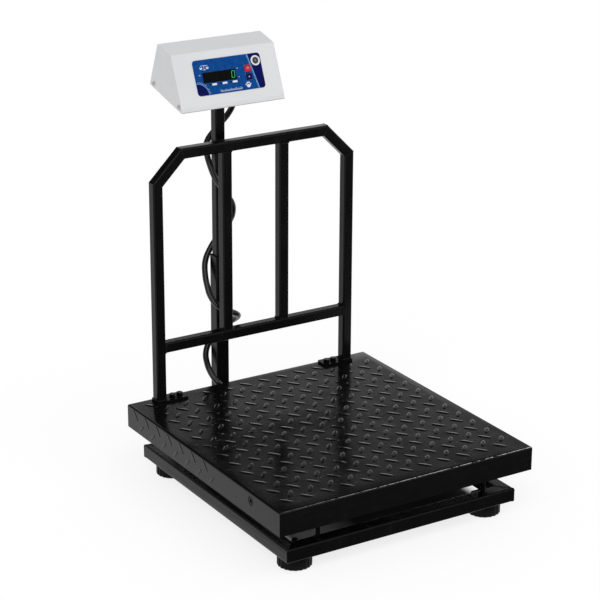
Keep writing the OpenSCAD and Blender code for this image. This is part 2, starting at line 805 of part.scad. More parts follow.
// A set screw in a welded nut holds the lower mast in its socket; another holds the upper mast
module set_screw(y0, y1, z) {
    translate([mast_x, mast_y + y0, z]) rotate([-90, 0, 0]) difference() {
        cylinder(d = m6, h = y1 - y0);
        translate([0, 0, y1 - y0 - 3]) cylinder(d = m6 / 2, h = 4, $fn = 6);
    }
}

module clamp_screws() {
    color("#8c8f93") placed() {
        set_screw(lower_tube / 2 + run_fit, socket_out / 2 + weld_nut_h, socket_clamp_z);
        set_screw(upper_tube / 2 + run_fit, lower_tube / 2 + weld_nut_h, clamp_z);
    }
}

module head_frame() {
    translate([mast_x, mast_y, head_z]) rotate([head_tilt, 0, 0]) children();
}

module upper_mast() {
    color("#131314") placed() difference() {
        tube_z(upper_z, head_z + upper_tube, mast_x, mast_y, upper_tube);
        head_frame() translate([-50, -50, -bracket_t]) cube([100, 100, 100]);
    }
}

module head_bracket() {
    color("#131314") placed() head_frame() difference() {
        translate([0, 0, -bracket_t]) linear_extrude(bracket_t) round_rect(bracket_w, bracket_d, 4);
        for (x = [-1, 1], y = [-1, 1]) translate([x * bracket_screw_x, y * bracket_screw_y, -bracket_t - 1])
            cylinder(r = m4 / 2 + screw_fit, h = bracket_t + 2);
    }
}

// ---------- head ----------

// For each corner of a convex outline: the middle of its fillet and where the fillet starts and ends
function fillets(p, r) = [for (i = [0 : len(p) - 1])
    let (b = p[i], u = unit(p[(i + len(p) - 1) % len(p)] - b), v = unit(p[(i + 1) % len(p)] - b),
        half = acos(u * v) / 2)
    [b + unit(u + v) * r / sin(half), b + u * r / tan(half), b + v * r / tan(half)]];

module filleted(p, r) {
    f = fillets(p, r);
    polygon([for (q = f) each [q[1], q[2]]]);
    for (q = f) translate(q[0]) circle(r = r);
}

// The same outline moved in by t; points run anticlockwise
function inset_outline(p, t) = [for (i = [0 : len(p) - 1])
    let (a = p[(i + len(p) - 1) % len(p)], b = p[i], c = p[(i + 1) % len(p)],
        u = (b - a) / norm(b - a), v = (c - b) / norm(c - b),
        n1 = [-u[1], u[0]], n2 = [-v[1], v[0]])
    b + (n1 + n2) * t / (1 + n1 * n2)];

module along_x(w) {
    translate([-w / 2, 0, 0]) rotate([90, 0, 90]) linear_extrude(w) children();
}

// The plane of the sloping front: x to the right, y up the slope, z out of the metal
module on_face() {
    translate([0, front_y + lip_back, lip_h]) rotate([face_angle, 0, 0]) children();
}

// The plane of the rear wall: y up the wall, z out of the metal
module on_back() {
    translate([0, back_y, 0]) rotate([back_angle, 0, 0]) mirror([0, 0, 1]) children();
}

module head_screw_places() {
    for (x = [-1, 1], y = side_screw_ys)
        translate([x * head_w / 2, y, side_screw_z]) rotate([0, 90 * x, 0]) children();
}

// Along the diagonal of each corner where the top, the rear and a side meet
module corner_reliefs() {
    for (x = [-1, 1]) translate([x * head_w / 2, top_back_y, head_h])
        rotate([0, acos(1 / sqrt(3)), 90 - 45 * x]) cylinder(d = relief_d, h = 8, center = true);
}

module housing_cover() {
    color("#eceef0") placed() head_frame() difference() {
        along_x(head_w) filleted(head_profile, sheet_r);
        along_x(head_w - 2 * sheet_t) filleted(inset_outline(head_profile, sheet_t), sheet_r - sheet_t);
        // open underside
        translate([-head_w / 2 + sheet_t, front_y + sheet_t, -1])
            cube([head_w - 2 * sheet_t, head_d - 2 * sheet_t, sheet_t + 2]);
        on_face() {
            translate([window_x, window_y, 0])
                cube([window_w - 2 * window_lap, window_h - 2 * window_lap, 8], center = true);
            for (y = [key_red_y, key_blue_y]) translate([key_x, y, -4])
                cylinder(r = key_stem_d / 2 + run_fit, h = 8);
            translate([seal_x, seal_y, -4]) cylinder(r = seal_shank_d / 2 + screw_fit, h = 8);
        }
        on_back() {
            translate([inlet_x, rear_z, 0]) cube([27, 20, 8], center = true);
            translate([switch_x, rear_z, 0]) cube([19, 13, 8], center = true);
        }
        head_screw_places() cylinder(r = m4 / 2 + screw_fit, h = 8, center = true);
        corner_reliefs();
    }
}

// Bottom tray with turned-up flanges inside the cover
module housing_base() {
    gap = sheet_t + 0.2;
    w = head_w - 2 * gap;
    d = head_d - 2 * gap - 2;
    color("#e4e6e8") placed() head_frame() difference() {
        union() {
            translate([-w / 2, -d / 2, 0]) cube([w, d, sheet_t]);
            for (x = [-1, 1]) translate([x * (w / 2 - sheet_t / 2), 0, flange_h / 2])
                cube([sheet_t, d - 14, flange_h], center = true);
        }
        for (x = [-1, 1], y = [-1, 1]) translate([x * bracket_screw_x, y * bracket_screw_y, -1])
            cylinder(r = m4 / 2 + screw_fit, h = sheet_t + 2);
        translate([gland_x, 0, -1]) cylinder(r = gland_d / 2 + screw_fit, h = sheet_t + 2);
        head_screw_places() cylinder(r = m4 / 2 + screw_fit, h = 8, center = true);
    }
}

module head_screws() {
    color("#c9ccd0") placed() head_frame() {
        head_screw_places() cap_screw(m4, m4_head_d, m4_head_h, 6);
        for (x = [-1, 1], y = [-1, 1]) translate([x * bracket_screw_x, y * bracket_screw_y, -bracket_t])
            rotate([180, 0, 0]) cap_screw(m4, m4_head_d, m4_head_h, bracket_t + sheet_t + 4);
    }
}

module overlay_panel() {
    color("#1f5fa8") placed() head_frame() on_face() linear_extrude(overlay_t) difference() {
        translate([overlay_x, overlay_y]) round_rect(overlay_w, overlay_h, overlay_r);
        translate([window_x, window_y]) square([window_w + 0.2, window_h + 0.2], center = true);
        for (y = [key_red_y, key_blue_y]) translate([key_x, y])
            square(key_size + 0.6, center = true);
        translate([seal_x, seal_y]) circle(r = seal_shank_d / 2 + screw_fit);
    }
}

module display_window() {
    color("#0b0d0c") placed() head_frame() on_face() translate([window_x, window_y, 0])
        linear_extrude(window_t) square([window_w, window_h], center = true);
}

module display_module() {
    d = board_gap - sheet_t - 0.6;
    color("#151515") placed() head_frame() on_face() translate([window_x, window_y, -board_gap + d / 2])
        cube([window_w - 2 * window_lap - 1, window_h - 2 * window_lap + 3, d], center = true);
}

// Board on four pillars behind the sloping front, with a switch behind each key
module circuit_board() {
    bx = window_x + 16;
    by = window_y;
    color("#1e6b3c") placed() head_frame() on_face() {
        translate([bx, by, -board_gap - board_t]) linear_extrude(board_t)
            square([board_w, board_h], center = true);
        for (x = [-1, 1], y = [-1, 1])
            translate([bx + x * (board_w / 2 - 5), by + y * (board_h / 2 - 5), -board_gap - join])
                cylinder(d = 7, h = board_gap - sheet_t + join, $fn = 24);
        for (y = [key_red_y, key_blue_y]) translate([key_x, y, -board_gap + tact_h / 2 - join])
            cube([tact_size, tact_size, tact_h + join], center = true);
    }
}

module battery() {
    w = 97;
    d = 24;
    h = 50;
    color("#3b4048") placed() head_frame() translate([-w + 8, -4, sheet_t]) {
        cube([w, d, h]);
        for (x = [12, w - 12]) translate([x - 2.4, d / 2 - 4, h - join]) cube([4.8, 0.8, 6 + join]);
    }
}

// Mains transformer: a stack of laminations with its winding
module transformer() {
    w = 42;
    d = 20;
    h = 35;
    inset = 36;             // from the side wall to its middle
    color("#6d6a62") placed() head_frame() translate([head_w / 2 - inset, 28, sheet_t]) {
        translate([-w / 2, -d / 2, 0]) cube([w, d, h]);
        translate([-w / 4, -d / 2 - 7, 7]) cube([w / 2, d + 14, h - 14]);
        for (x = [-1, 1]) translate([x * (w / 2 + 3), 0, 1]) cube([6 + 2 * join, d * 0.6, 2], center = true);
    }
}

module key(y) {
    placed() head_frame() on_face() translate([key_x, y, 0]) {
        translate([0, 0, key_travel + 0.1]) linear_extrude(key_t) round_rect(key_size, key_size, key_corner);
        translate([0, 0, key_travel + 0.1 - sheet_t - key_stem_l])
            cylinder(d = key_stem_d, h = sheet_t + key_stem_l + join);
    }
}

module key_red() { color("#c9242b") key(key_red_y); }
module key_blue() { color("#15205e") key(key_blue_y); }

// Ring seal over the calibration screw
module seal_plug() {
    color("#c6cacd") placed() head_frame() on_face() translate([seal_x, seal_y, 0]) {
        translate([0, 0, overlay_t]) rotate_extrude() polygon([[0, 0], [seal_d / 2, 0], [seal_d / 2, 0.8],
            [seal_d / 2 - 0.6, 1.4], [seal_d / 2 - 2.4, 1.4], [seal_d / 2 - 3, 0.6], [0, 0.6]]);
        translate([0, 0, -4]) cylinder(d = seal_shank_d, h = 4 + overlay_t + join);
    }
}

module mains_inlet() {
    color("#141414") placed() head_frame() on_back() translate([inlet_x, rear_z, 0]) difference() {
        union() {
            linear_extrude(2.5) round_rect(34, 26, 3);
            translate([0, 0, -14]) linear_extrude(14 + join) square([26.6, 19.6], center = true);
        }
        difference() {
            translate([0, 0, -11]) linear_extrude(15) round_rect(22, 15, 2);
            for (x = [-7, 0, 7]) translate([x, x == 0 ? 3 : -2, -12])
                linear_extrude(10) square([2, 4], center = true);
        }
    }
}

// Frame of the rocker switch, with trunnion holes for the rocker
module power_switch() {
    color("#141414") placed() head_frame() on_back() translate([switch_x, rear_z, 0]) difference() {
        union() {
            linear_extrude(2) round_rect(22, 16, 1.5);
            translate([0, 0, -15]) linear_extrude(15 + join) square([18.6, 12.6], center = true);
        }
        translate([0, 0, -8]) linear_extrude(12) square([15, 10], center = true);
        translate([0, 0, -2.5]) rotate([0, 90, 0]) cylinder(r = 1 + run_fit, h = 17.4, center = true);
    }
}

module power_rocker() {
    color("#1a1a1a") placed() head_frame() on_back() translate([switch_x, rear_z, -2.5]) {
        rotate([rocker_tilt, 0, 0]) intersection() {
            translate([-7.2, -4.2, -1.2]) cube([14.4, 8.4, 8]);
            translate([0, 0, -1]) rotate([0, 90, 0]) cylinder(r = 6.4, h = 16, center = true);
        }
        rotate([0, 90, 0]) cylinder(r = 1, h = 17.2, center = true);
    }
}

// Gland in the underside: its nut and cap outside, its thread and lock nut inside
module cable_gland() {
    color("#151515") placed() head_frame() translate([gland_x, 0, 0]) difference() {
        union() {
            translate([0, 0, -3]) rotate(30) cylinder(d = gland_af / cos(30), h = 3, $fn = 6);
            translate([0, 0, -9]) cylinder(d1 = 15, d2 = 19, h = 6 + join);
            translate([0, 0, -join]) cylinder(d = gland_d, h = sheet_t + 6 + join);
            translate([0, 0, sheet_t]) rotate(30) cylinder(d = gland_af / cos(30), h = 4, $fn = 6);
        }
        translate([0, 0, -10]) cylinder(r = cable_d / 2 + screw_fit, h = sheet_t + 18);
    }
}

// ---------- cable ----------

cable_route = concat([for (p = cable_down) [mast_x + p[0], mast_y + p[1], p[2]]], cable_over,
    [cable_end - [7, 0, 0], cable_end]);

function unit(v) = v / norm(v);
function tangent(p, i) = unit(p[min(i + 1, len(p) - 1)] - p[max(i - 1, 0)]);
// Rings of a tube along p; each ring's frame follows the one before, so the tube does not twist
function frames(p, i, side) = i >= len(p) ? [] :
    let (t = tangent(p, i), s = unit(side - (side * t) * t)) concat([[s, cross(t, s)]], frames(p, i + 1, s));

module cable() {
    p = cable_route;
    n = len(p);
    k = 10;
    f = frames(p, 0, [0, 1, 0.1]);
    points = [for (i = [0 : n - 1], j = [0 : k - 1])
        p[i] + (f[i][0] * cos(j * 360 / k) + f[i][1] * sin(j * 360 / k)) * cable_d / 2];
    faces = concat([[for (j = [0 : k - 1]) j]],
        [for (i = [0 : n - 2], j = [0 : k - 1])
            [i * k + j, (i + 1) * k + j, (i + 1) * k + (j + 1) % k, i * k + (j + 1) % k]],
        [[for (j = [k - 1 : -1 : 0]) (n - 1) * k + j]]);
    color("#0e0e0f") placed() polyhedron(points, faces);
}

base_left_rail();
base_right_rail();
base_front_rail();
base_rear_rail();
base_cell_cross();
base_rear_cross();
corner_gussets();
foot_knob_fl();
foot_knob_fr();
foot_knob_rl();
foot_knob_rr();
foot_pad_fl();
foot_pad_fr();
foot_pad_rl();
foot_pad_rr();
load_cell();
cell_screws_lower();
cell_screws_upper();
overload_stops();
live_left_rail();
live_right_rail();
live_front_rail();
live_rear_rail();
live_cross();
platform_tray();
side_screws();
guard_left_post();
guard_right_post();
guard_left_corner();
guard_right_corner();
guard_top_rail();
guard_bottom_rail();
guard_left_bar();
guard_right_bar();
guard_left_foot();
guard_right_foot();
guard_bolts();
mast_socket();
mast_bolts();
lower_mast();
clamp_screws();
upper_mast();
head_bracket();
housing_base();
housing_cover();
head_screws();
overlay_panel();
display_window();
display_module();
circuit_board();
battery();
transformer();
key_red();
key_blue();
seal_plug();
mains_inlet();
power_switch();
power_rocker();
cable_gland();
cable();
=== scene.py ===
import bpy
import bmesh
import json
import math
from itertools import product
from mathutils import Matrix, Vector, noise


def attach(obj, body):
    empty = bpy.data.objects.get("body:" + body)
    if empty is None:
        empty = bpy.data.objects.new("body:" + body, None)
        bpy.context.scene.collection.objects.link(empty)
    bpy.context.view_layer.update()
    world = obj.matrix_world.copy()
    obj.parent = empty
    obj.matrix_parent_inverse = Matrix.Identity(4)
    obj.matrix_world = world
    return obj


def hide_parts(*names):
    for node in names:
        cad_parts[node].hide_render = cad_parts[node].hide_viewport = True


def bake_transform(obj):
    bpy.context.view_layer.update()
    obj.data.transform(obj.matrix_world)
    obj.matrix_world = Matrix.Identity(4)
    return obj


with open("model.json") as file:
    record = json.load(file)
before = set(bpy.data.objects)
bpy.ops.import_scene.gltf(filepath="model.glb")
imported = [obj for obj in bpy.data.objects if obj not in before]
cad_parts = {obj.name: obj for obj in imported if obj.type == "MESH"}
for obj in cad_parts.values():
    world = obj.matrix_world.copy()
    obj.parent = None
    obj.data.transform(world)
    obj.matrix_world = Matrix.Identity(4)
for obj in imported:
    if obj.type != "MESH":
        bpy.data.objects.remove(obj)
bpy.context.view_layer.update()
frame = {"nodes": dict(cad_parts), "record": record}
nodes = frame["nodes"]
mm = 0.001
print("frame loaded:", len(nodes), "nodes")


def hexColour(code):
    # sRGB hex to linear
    parts = [int(code[i:i + 2], 16) / 255 for i in (0, 2, 4)]
    return [c / 12.92 if c <= 0.04045 else ((c + 0.055) / 1.055) ** 2.4 for c in parts] + [1.0]


def addNode(tree, kind, settings=None):
    # a setting is an attribute of the node, or else its input of that name or number, which is linked or set
    node = tree.nodes.new(kind)
    for name, value in (settings or {}).items():
        if isinstance(name, str) and hasattr(node, name):
            setattr(node, name, value)
        elif isinstance(value, bpy.types.NodeSocket):
            tree.links.new(value, node.inputs[name])
        else:
            node.inputs[name].default_value = value
    return node


def combine(tree, operation, first, second, clamp=False):
    return addNode(tree, "ShaderNodeMath",
                   {"operation": operation, "use_clamp": clamp, 0: first, 1: second}).outputs[0]


def spread(tree, value, low, high, start=0.3, stop=0.7, curve="LINEAR"):
    # what lies between start and stop is spread from low to high
    return addNode(tree, "ShaderNodeMapRange",
                   {"interpolation_type": curve, "From Min": start, "From Max": stop, "To Min": low, "To Max": high,
                    "Value": value}).outputs[0]


def blendColours(tree, share, first, second):
    # a colour is a hex code, a linear colour or a socket
    first, second = (hexColour(c) if isinstance(c, str) else c for c in (first, second))
    return addNode(tree, "ShaderNodeMix", {"data_type": "RGBA", 0: share, 6: first, 7: second}).outputs[2]


def blendNumbers(tree, share, first, second):
    return addNode(tree, "ShaderNodeMix", {"data_type": "FLOAT", 0: share, 2: first, 3: second}).outputs[0]


def clearMaterial(name):
    material = bpy.data.materials.new(name)
    material.use_nodes = True
    material.node_tree.nodes.clear()
    return material, material.node_tree


def addObject(name, data):
    thing = bpy.data.objects.new(name, data)
    bpy.context.scene.collection.objects.link(thing)
    return thing


def addMesh(name, bm, materials):
    mesh = bpy.data.meshes.new(name)
    bm.to_mesh(mesh)
    bm.free()
    for material in materials:
        mesh.materials.append(material)
    return addObject(name, mesh)


# camera, floor and light

cameraView = {
    "place": (-1803.34, -2867.6, 1572.32),   # mm, ahead and to the left of the scale
    "yaw": 31.79, "pitch": 19.93, "roll": 0.23,
    "lens": 126.18, "sensor": 36, "reach": 100,   # mm, mm and m
}


def makeCamera():
    yaw, pitch, roll = (math.radians(cameraView[k]) for k in ("yaw", "pitch", "roll"))
    ahead = Vector((math.sin(yaw) * math.cos(pitch), math.cos(yaw) * math.cos(pitch), -math.sin(pitch)))
    level = Vector((math.cos(yaw), -math.sin(yaw), 0))
    upright = level.cross(ahead)
    right = level * math.cos(roll) + upright * math.sin(roll)
    up = upright * math.cos(roll) - level * math.sin(roll)
    data = bpy.data.cameras.new("camera")
    data.sensor_width = cameraView["sensor"]
    data.lens = cameraView["lens"]
    data.clip_end = cameraView["reach"]
    camera = addObject("camera", data)
    turn = Matrix((right, up, -ahead)).transposed().to_4x4()
    camera.matrix_world = Matrix.Translation(Vector(cameraView["place"]) * mm) @ turn
    bpy.context.scene.camera = camera


studio = {
    "floorSize": (60, 60), "floorColour": "EDEDED",
    "brighter": 1.5,       # the floor is this much brighter to the camera, to gloss and to glass
    "glow": 0.8,           # share of plain white in that, outside the painted shade under the platform
    # m over which that painted shade comes in from the left, ends at the right, and ends at the front and the back
    "shade": {"left": (-0.19, -0.14), "right": (0.24, 0.207), "ends": (0.235, 0.19)},
    # colours of the painted shade at the left and in the middle, and the m between them
    "paintedShadeColours": ("E8E8E8", "4C4C4C"), "paintedShadeDeepens": (-0.1, -0.02),
    "worldColour": "FFFFFF", "worldStrength": 0.46, "worldSeen": 1.0,   # strengths as light and to the camera
    # what gloss sees of the room: pale near the horizon, and dimmer from there up; sines of the heights and strengths
    "wall": {"from": 0.16, "to": 0.44, "low": 1.8, "high": 0.12},
    # and dimmer towards the left: the direction that counts as right, the shares of it, and how much is left there
    "dim": {"right": (0.85, -0.527, 0), "from": -0.42, "to": 0.02, "least": 0.2},
    # towards the lamp, softness in degrees, W/m2
    "suns": {"left": ((-0.55, -0.55, 0.63), 50, 1.02), "front": ((0.25, -0.6, 0.76), 50, 0.56)},
    # a dark card beside the front right, which only gloss sees: middle and size in m
    "card": {"middle": (1.75, -2.1, 0.002), "size": (4.3, 3.6), "colour": "5C5C5C"},
}


def addSheet(name, material, size, middle=(0, 0, 0)):
    # a level sheet that belongs to the studio, in m
    bm = bmesh.new()
    bmesh.ops.create_grid(bm, x_segments=1, y_segments=1, size=0.5)
    bmesh.ops.scale(bm, vec=(*size, 1), verts=bm.verts)
    bmesh.ops.translate(bm, vec=middle, verts=bm.verts)
    sheet = addMesh(name, bm, [material])
    return sheet


def makeFloor():
    material, tree = clearMaterial("paleFloor")
    path = addNode(tree, "ShaderNodeLightPath").outputs
    seen = combine(tree, "ADD", path["Is Camera Ray"], path["Is Glossy Ray"])
    seen = combine(tree, "ADD", seen, path["Is Transmission Ray"], True)
    place = addNode(tree, "ShaderNodeTexCoord").outputs["Object"]
    across, back = addNode(tree, "ShaderNodeSeparateXYZ", {0: place}).outputs[:2]
    deep = addNode(tree, "ShaderNodeMath", {"operation": "ABSOLUTE", 0: back}).outputs[0]
    # painted shadow under the platform: this mask is 0 under it and 1 outside
    out = None
    for name, where in (("left", across), ("right", across), ("ends", deep)):
        start, stop = studio["shade"][name]
        side = spread(tree, where, float(start < stop), float(start > stop), min(start, stop), max(start, stop),
                      "SMOOTHSTEP")
        out = side if out is None else combine(tree, "MAXIMUM", out, side)
    plain = hexColour(studio["floorColour"])
    bright = [c * studio["brighter"] for c in plain[:3]] + [1.0]
    # under the platform the floor's colour is darkened to paint its shadow, most in the middle
    under = blendColours(tree, spread(tree, across, 0, 1, *studio["paintedShadeDeepens"]), *studio["paintedShadeColours"])
    colour = blendColours(tree, seen, plain, blendColours(tree, out, under, bright))
    lit = addNode(tree, "ShaderNodeBsdfDiffuse", {"Color": colour}).outputs[0]
    white = addNode(tree, "ShaderNodeEmission", {"Strength": 1.0}).outputs[0]
    share = combine(tree, "MULTIPLY", combine(tree, "MULTIPLY", out, seen), studio["glow"])
    mix = addNode(tree, "ShaderNodeMixShader", {0: share, 1: lit, 2: white}).outputs[0]
    addNode(tree, "ShaderNodeOutputMaterial", {"Surface": mix})
    addSheet("floor", material, studio["floorSize"])


def makeCard():
    settings = studio["card"]
    material = bpy.data.materials.new("darkCard")
    material.use_nodes = True
    shader = material.node_tree.nodes["Principled BSDF"]
    shader.inputs["Base Color"].default_value = hexColour(settings["colour"])
    card = addSheet("darkCard", material, settings["size"], settings["middle"])
    for ray in ("camera", "diffuse", "transmission", "volume_scatter", "shadow"):
        setattr(card, "visible_" + ray, False)


def makeLight():
    world = bpy.data.worlds.new("studio")
    world.use_nodes = True
    tree = world.node_tree
    background = tree.nodes["Background"]
    background.inputs["Color"].default_value = hexColour(studio["worldColour"])
    wall, dim = studio["wall"], studio["dim"]
    place = addNode(tree, "ShaderNodeTexCoord").outputs["Generated"]
    height = addNode(tree, "ShaderNodeSeparateXYZ", {0: place}).outputs[2]
    room = spread(tree, height, wall["low"], wall["high"], wall["from"], wall["to"], "SMOOTHSTEP")
    across = addNode(tree, "ShaderNodeVectorMath", {"operation": "DOT_PRODUCT", 0: place, 1: dim["right"]})
    dimmed = spread(tree, across.outputs["Value"], dim["least"], 1, dim["from"], dim["to"], "SMOOTHSTEP")
    room = combine(tree, "MULTIPLY", room, dimmed)
    path = addNode(tree, "ShaderNodeLightPath").outputs
    strength = blendNumbers(tree, path["Is Glossy Ray"], studio["worldStrength"], room)
    strength = blendNumbers(tree, path["Is Camera Ray"], strength, studio["worldSeen"])
    tree.links.new(strength, background.inputs["Strength"])
    bpy.context.scene.world = world
    for name, (toLamp, soft, power) in studio["suns"].items():
        data = bpy.data.lights.new(name, "SUN")
        data.angle = math.radians(soft)
        data.energy = power
        lamp = addObject(name, data)
        lamp.rotation_euler = Vector(toLamp).to_track_quat("Z", "Y").to_euler()


makeCamera()
makeFloor()
makeCard()
makeLight()
bpy.context.scene.view_settings.view_transform = "Standard"
print("camera, floor and light done")


# places in mm: the middle of the platform, the mast, and on the head the sloping front and the rear wall

platformY = -43.002
mastPlace = (-45, 245.498)
headPlace = {
    "origin": (*mastPlace, 663), "tilt": 14, "front": (-56, 8.5), "frontSlope": 52.883,
    "rear": 60, "rearSlope": 97.936,
}


def headMatrix(offset, slope=0, flip=1):
    matrix = Matrix.Translation(headPlace["origin"]) @ Matrix.Rotation(math.radians(headPlace["tilt"]), 4, "X")
    matrix = matrix @ Matrix.Translation(offset) @ Matrix.Rotation(math.radians(slope), 4, "X")
    return matrix @ Matrix.Diagonal((1, 1, flip, 1))


onFront = headMatrix((0, *headPlace["front"]), headPlace["frontSlope"])
onRear = headMatrix((0, headPlace["rear"], 0), headPlace["rearSlope"], -1)


# materials; a pattern's size is the real one in mm, and Object coordinates are in metres

def perMetre(size):
    return 1000 / size


def startMaterial(name, colour, roughness, metallic=0.0, specular=0.5):
    material, tree = clearMaterial(name)
    shader = addNode(tree, "ShaderNodeBsdfPrincipled",
                     {"Base Color": hexColour(colour), "Roughness": roughness, "Metallic": metallic,
                      "Specular IOR Level": specular})
    addNode(tree, "ShaderNodeOutputMaterial", {"Surface": shader.outputs[0]})
    place = addNode(tree, "ShaderNodeTexCoord").outputs["Object"]
    return material, tree, shader, place


def grain(tree, place, size, detail, stretch=None, fineness=0.5):
    # soft noise of that feature size, stretched along an axis where asked
    if stretch:
        place = addNode(tree, "ShaderNodeMapping", {"Scale": stretch, "Vector": place}).outputs[0]
    return addNode(tree, "ShaderNodeTexNoise",
                   {"Scale": perMetre(size), "Detail": detail, "Roughness": fineness, "Vector": place}).outputs[0]


def relief(tree, height, depth, under=None):
    # depth in mm
    settings = {"Strength": 1.0, "Distance": depth * mm, "Height": height}
    if under:
        settings["Normal"] = under
    return addNode(tree, "ShaderNodeBump", settings).outputs[0]


def connect(tree, shader, **sockets):
    names = {"colour": "Base Color", "roughness": "Roughness", "normal": "Normal"}
    for key, socket in sockets.items():
        tree.links.new(socket, shader.inputs[names[key]])


def paintedEdgeHighlight(tree, place, edge):
    # how strongly a painted highlight shows along an edge that runs across, as a pale band of uneven width; 0 to 1
    across, back, up = addNode(tree, "ShaderNodeSeparateXYZ", {0: place}).outputs
    wearAndHighlight = grain(tree, place, *edge["highlightGrain"])
    away = combine(tree, "SUBTRACT", back, edge["y"] * mm)
    below = combine(tree, "SUBTRACT", edge["z"] * mm, up)
    width = spread(tree, wearAndHighlight, *(w * mm for w in edge["width"]))
    side = spread(tree, across, *edge["share"], *(x * mm for x in edge["across"]))
    inside = combine(tree, "LESS_THAN", combine(tree, "ADD", away, below), width)
    return combine(tree, "MULTIPLY", inside, side)


def makeEnamel(name, look):
    # stoved enamel on mild steel: deep black, glossy, with the slight orange peel of sprayed paint
    material, tree, shader, place = startMaterial(name, look["colour"], look["plain"], specular=look["specular"])
    scuffs = grain(tree, place, *look["scuffs"])
    gloss = spread(tree, grain(tree, place, *look["cloud"]), *look["roughness"])
    wearAndHighlight = spread(tree, scuffs, 0.0, look["scuffRoughness"], *look["scuffFrom"])
    dusty = spread(tree, scuffs, 0.0, look["dust"], *look["dustFrom"])
    colour = blendColours(tree, dusty, look["colour"], look["dustColour"])
    sag = relief(tree, grain(tree, place, *look["sag"]), look["sagDepth"])
    peel = relief(tree, grain(tree, place, *look["peel"]), look["peelDepth"], sag)
    # a painted highlight along an edge, where the look asks for one
    if "edge" in look:
        colour = blendColours(tree, paintedEdgeHighlight(tree, place, look["edge"]), colour, look["edge"]["colour"])
    connect(tree, shader, colour=colour, roughness=combine(tree, "ADD", gloss, wearAndHighlight), normal=peel)
    return material


# patterns are given as grain() takes them: size, detail, stretch and fineness; depths in mm
frameLook = {
    "colour": "080809", "specular": 0.14, "plain": 0.2, "roughness": (0.2, 0.32), "cloud": (40, 3.0),
    "scuffs": (14, 4.0, (1, 1, 0.25), 0.65), "scuffRoughness": 0.16, "scuffFrom": (0.62, 0.75),
    "dustColour": "3A3A3C", "dust": 0.05, "dustFrom": (0.45, 0.8),
    "peel": (1.6, 1.0), "peelDepth": 0.012, "sag": (26, 1.0), "sagDepth": 0.05,
}
# the same enamel, drawn with faint lengthwise streaks
railLook = dict(frameLook, dust=1.6, scuffs=(12, 4.0, (1, 0.015, 1), 0.65), sagDepth=0.03)
plateLook = dict(
    frameLook, specular=0.2, roughness=(0.12, 0.22), cloud=(55, 3.0), scuffs=(9, 4.0, (0.6, 1, 1), 0.65),
    scuffRoughness=0.22, dustColour="39383A", dust=0.06, peel=(1.8, 1.0), peelDepth=0.016, sag=(34, 1.0),
    sagDepth=0.07,
    # painted highlight along the front edge: a pale band drawn like bare metal, brighter at the right
    edge={"y": -303.0, "z": 128, "width": (2.31, 2.43), "highlightGrain": (3, 4.0, (0.4, 1, 1), 0.7), "colour": "D4D6D8",
          "across": (-250, 200), "share": (0.08, 0.85)},
)


# the kinds of skin: size in mm and detail of their patches, how far those take on the second colour and change the
# roughness, and the detail and fineness of the small relief
skins = {
    # powder coat: an even satin skin with a fine pebbled surface
    "powder": {"metallic": 0.0, "patch": (60, 2.0), "from": (0.3, 0.7), "tint": 0.35, "rough": (-0.04, 0.05),
               "fine": (2.0, 0.5)},
    # injection moulded plastic or rubber: spark-eroded grain from the mould, a little paler on worn places
    "moulded": {"metallic": 0.0, "patch": (12, 4.0), "from": (0.45, 0.8), "tint": 0.4, "rough": (-0.06, 0.08),
                "fine": (3.0, 0.7)},
    # plated, oxidised or machined metal: bright, with fine turning or milling marks and dull patches
    "plated": {"metallic": 1.0, "patch": (5, 3.0), "from": (0.3, 0.7), "tint": 0.6, "rough": (-0.06, 0.12),
               "fine": (2.0, 0.5)},
}


def makeSkin(kind, name, colour, second, roughness, size=0.8, depth=0.004, specular=0.5, stretch=None):
    # size and depth of the fine relief in mm
    look = skins[kind]
    material, tree, shader, place = startMaterial(name, colour, roughness, look["metallic"], specular)
    patch = grain(tree, place, *look["patch"])
    shade = blendColours(tree, spread(tree, patch, 0.0, look["tint"], *look["from"]), colour, second)
    rough = spread(tree, patch, *(roughness + change for change in look["rough"]))
    detail, fineness = look["fine"]
    fine = relief(tree, grain(tree, place, size, detail, stretch, fineness), depth)
    connect(tree, shader, colour=shade, roughness=rough, normal=fine)
    return material


film = {
    "roughness": 0.34, "specular": 0.06, "cloud": (7, 5.0, None, 0.7), "from": (0.38, 0.62),
    "texture": (0.5, 1.0), "depth": 0.002,
}


def makePrinted(name, colour, deeper):
    # polyester film printed on its back: flat colour with a faint halftone cloud under a satin face
    material, tree, shader, place = startMaterial(name, colour, film["roughness"], specular=film["specular"])
    cloud = spread(tree, grain(tree, place, *film["cloud"]), 0.0, 1.0, *film["from"])
    texture = relief(tree, grain(tree, place, *film["texture"]), film["depth"])
    connect(tree, shader, colour=blendColours(tree, cloud, colour, deeper), normal=texture)
    return material


laminations = {
    "colours": ("6B6459", "3B362F"), "roughness": 0.45, "metallic": 0.7, "pitch": 3.2, "wobble": 0.4, "depth": 0.05,
}


def makeLaminations():
    # transformer: varnished steel sheets of half a millimetre, edge on, drawn at 1 mm so that they show
    colours = laminations["colours"]
    material, tree, shader, place = startMaterial("varnishedLaminations", colours[0], laminations["roughness"],
                                                  laminations["metallic"])
    bands = addNode(tree, "ShaderNodeTexWave",
                    {"bands_direction": "Y", "Scale": perMetre(laminations["pitch"]),
                     "Distortion": laminations["wobble"], "Vector": place}).outputs[1]
    connect(tree, shader, colour=blendColours(tree, bands, *colours),
            normal=relief(tree, bands, laminations["depth"]))
    return material


board = {"colours": ("14532B", "2E8B4B"), "roughness": 0.3, "pitch": 4, "track": (0.06, 0.12), "depth": 0.03}


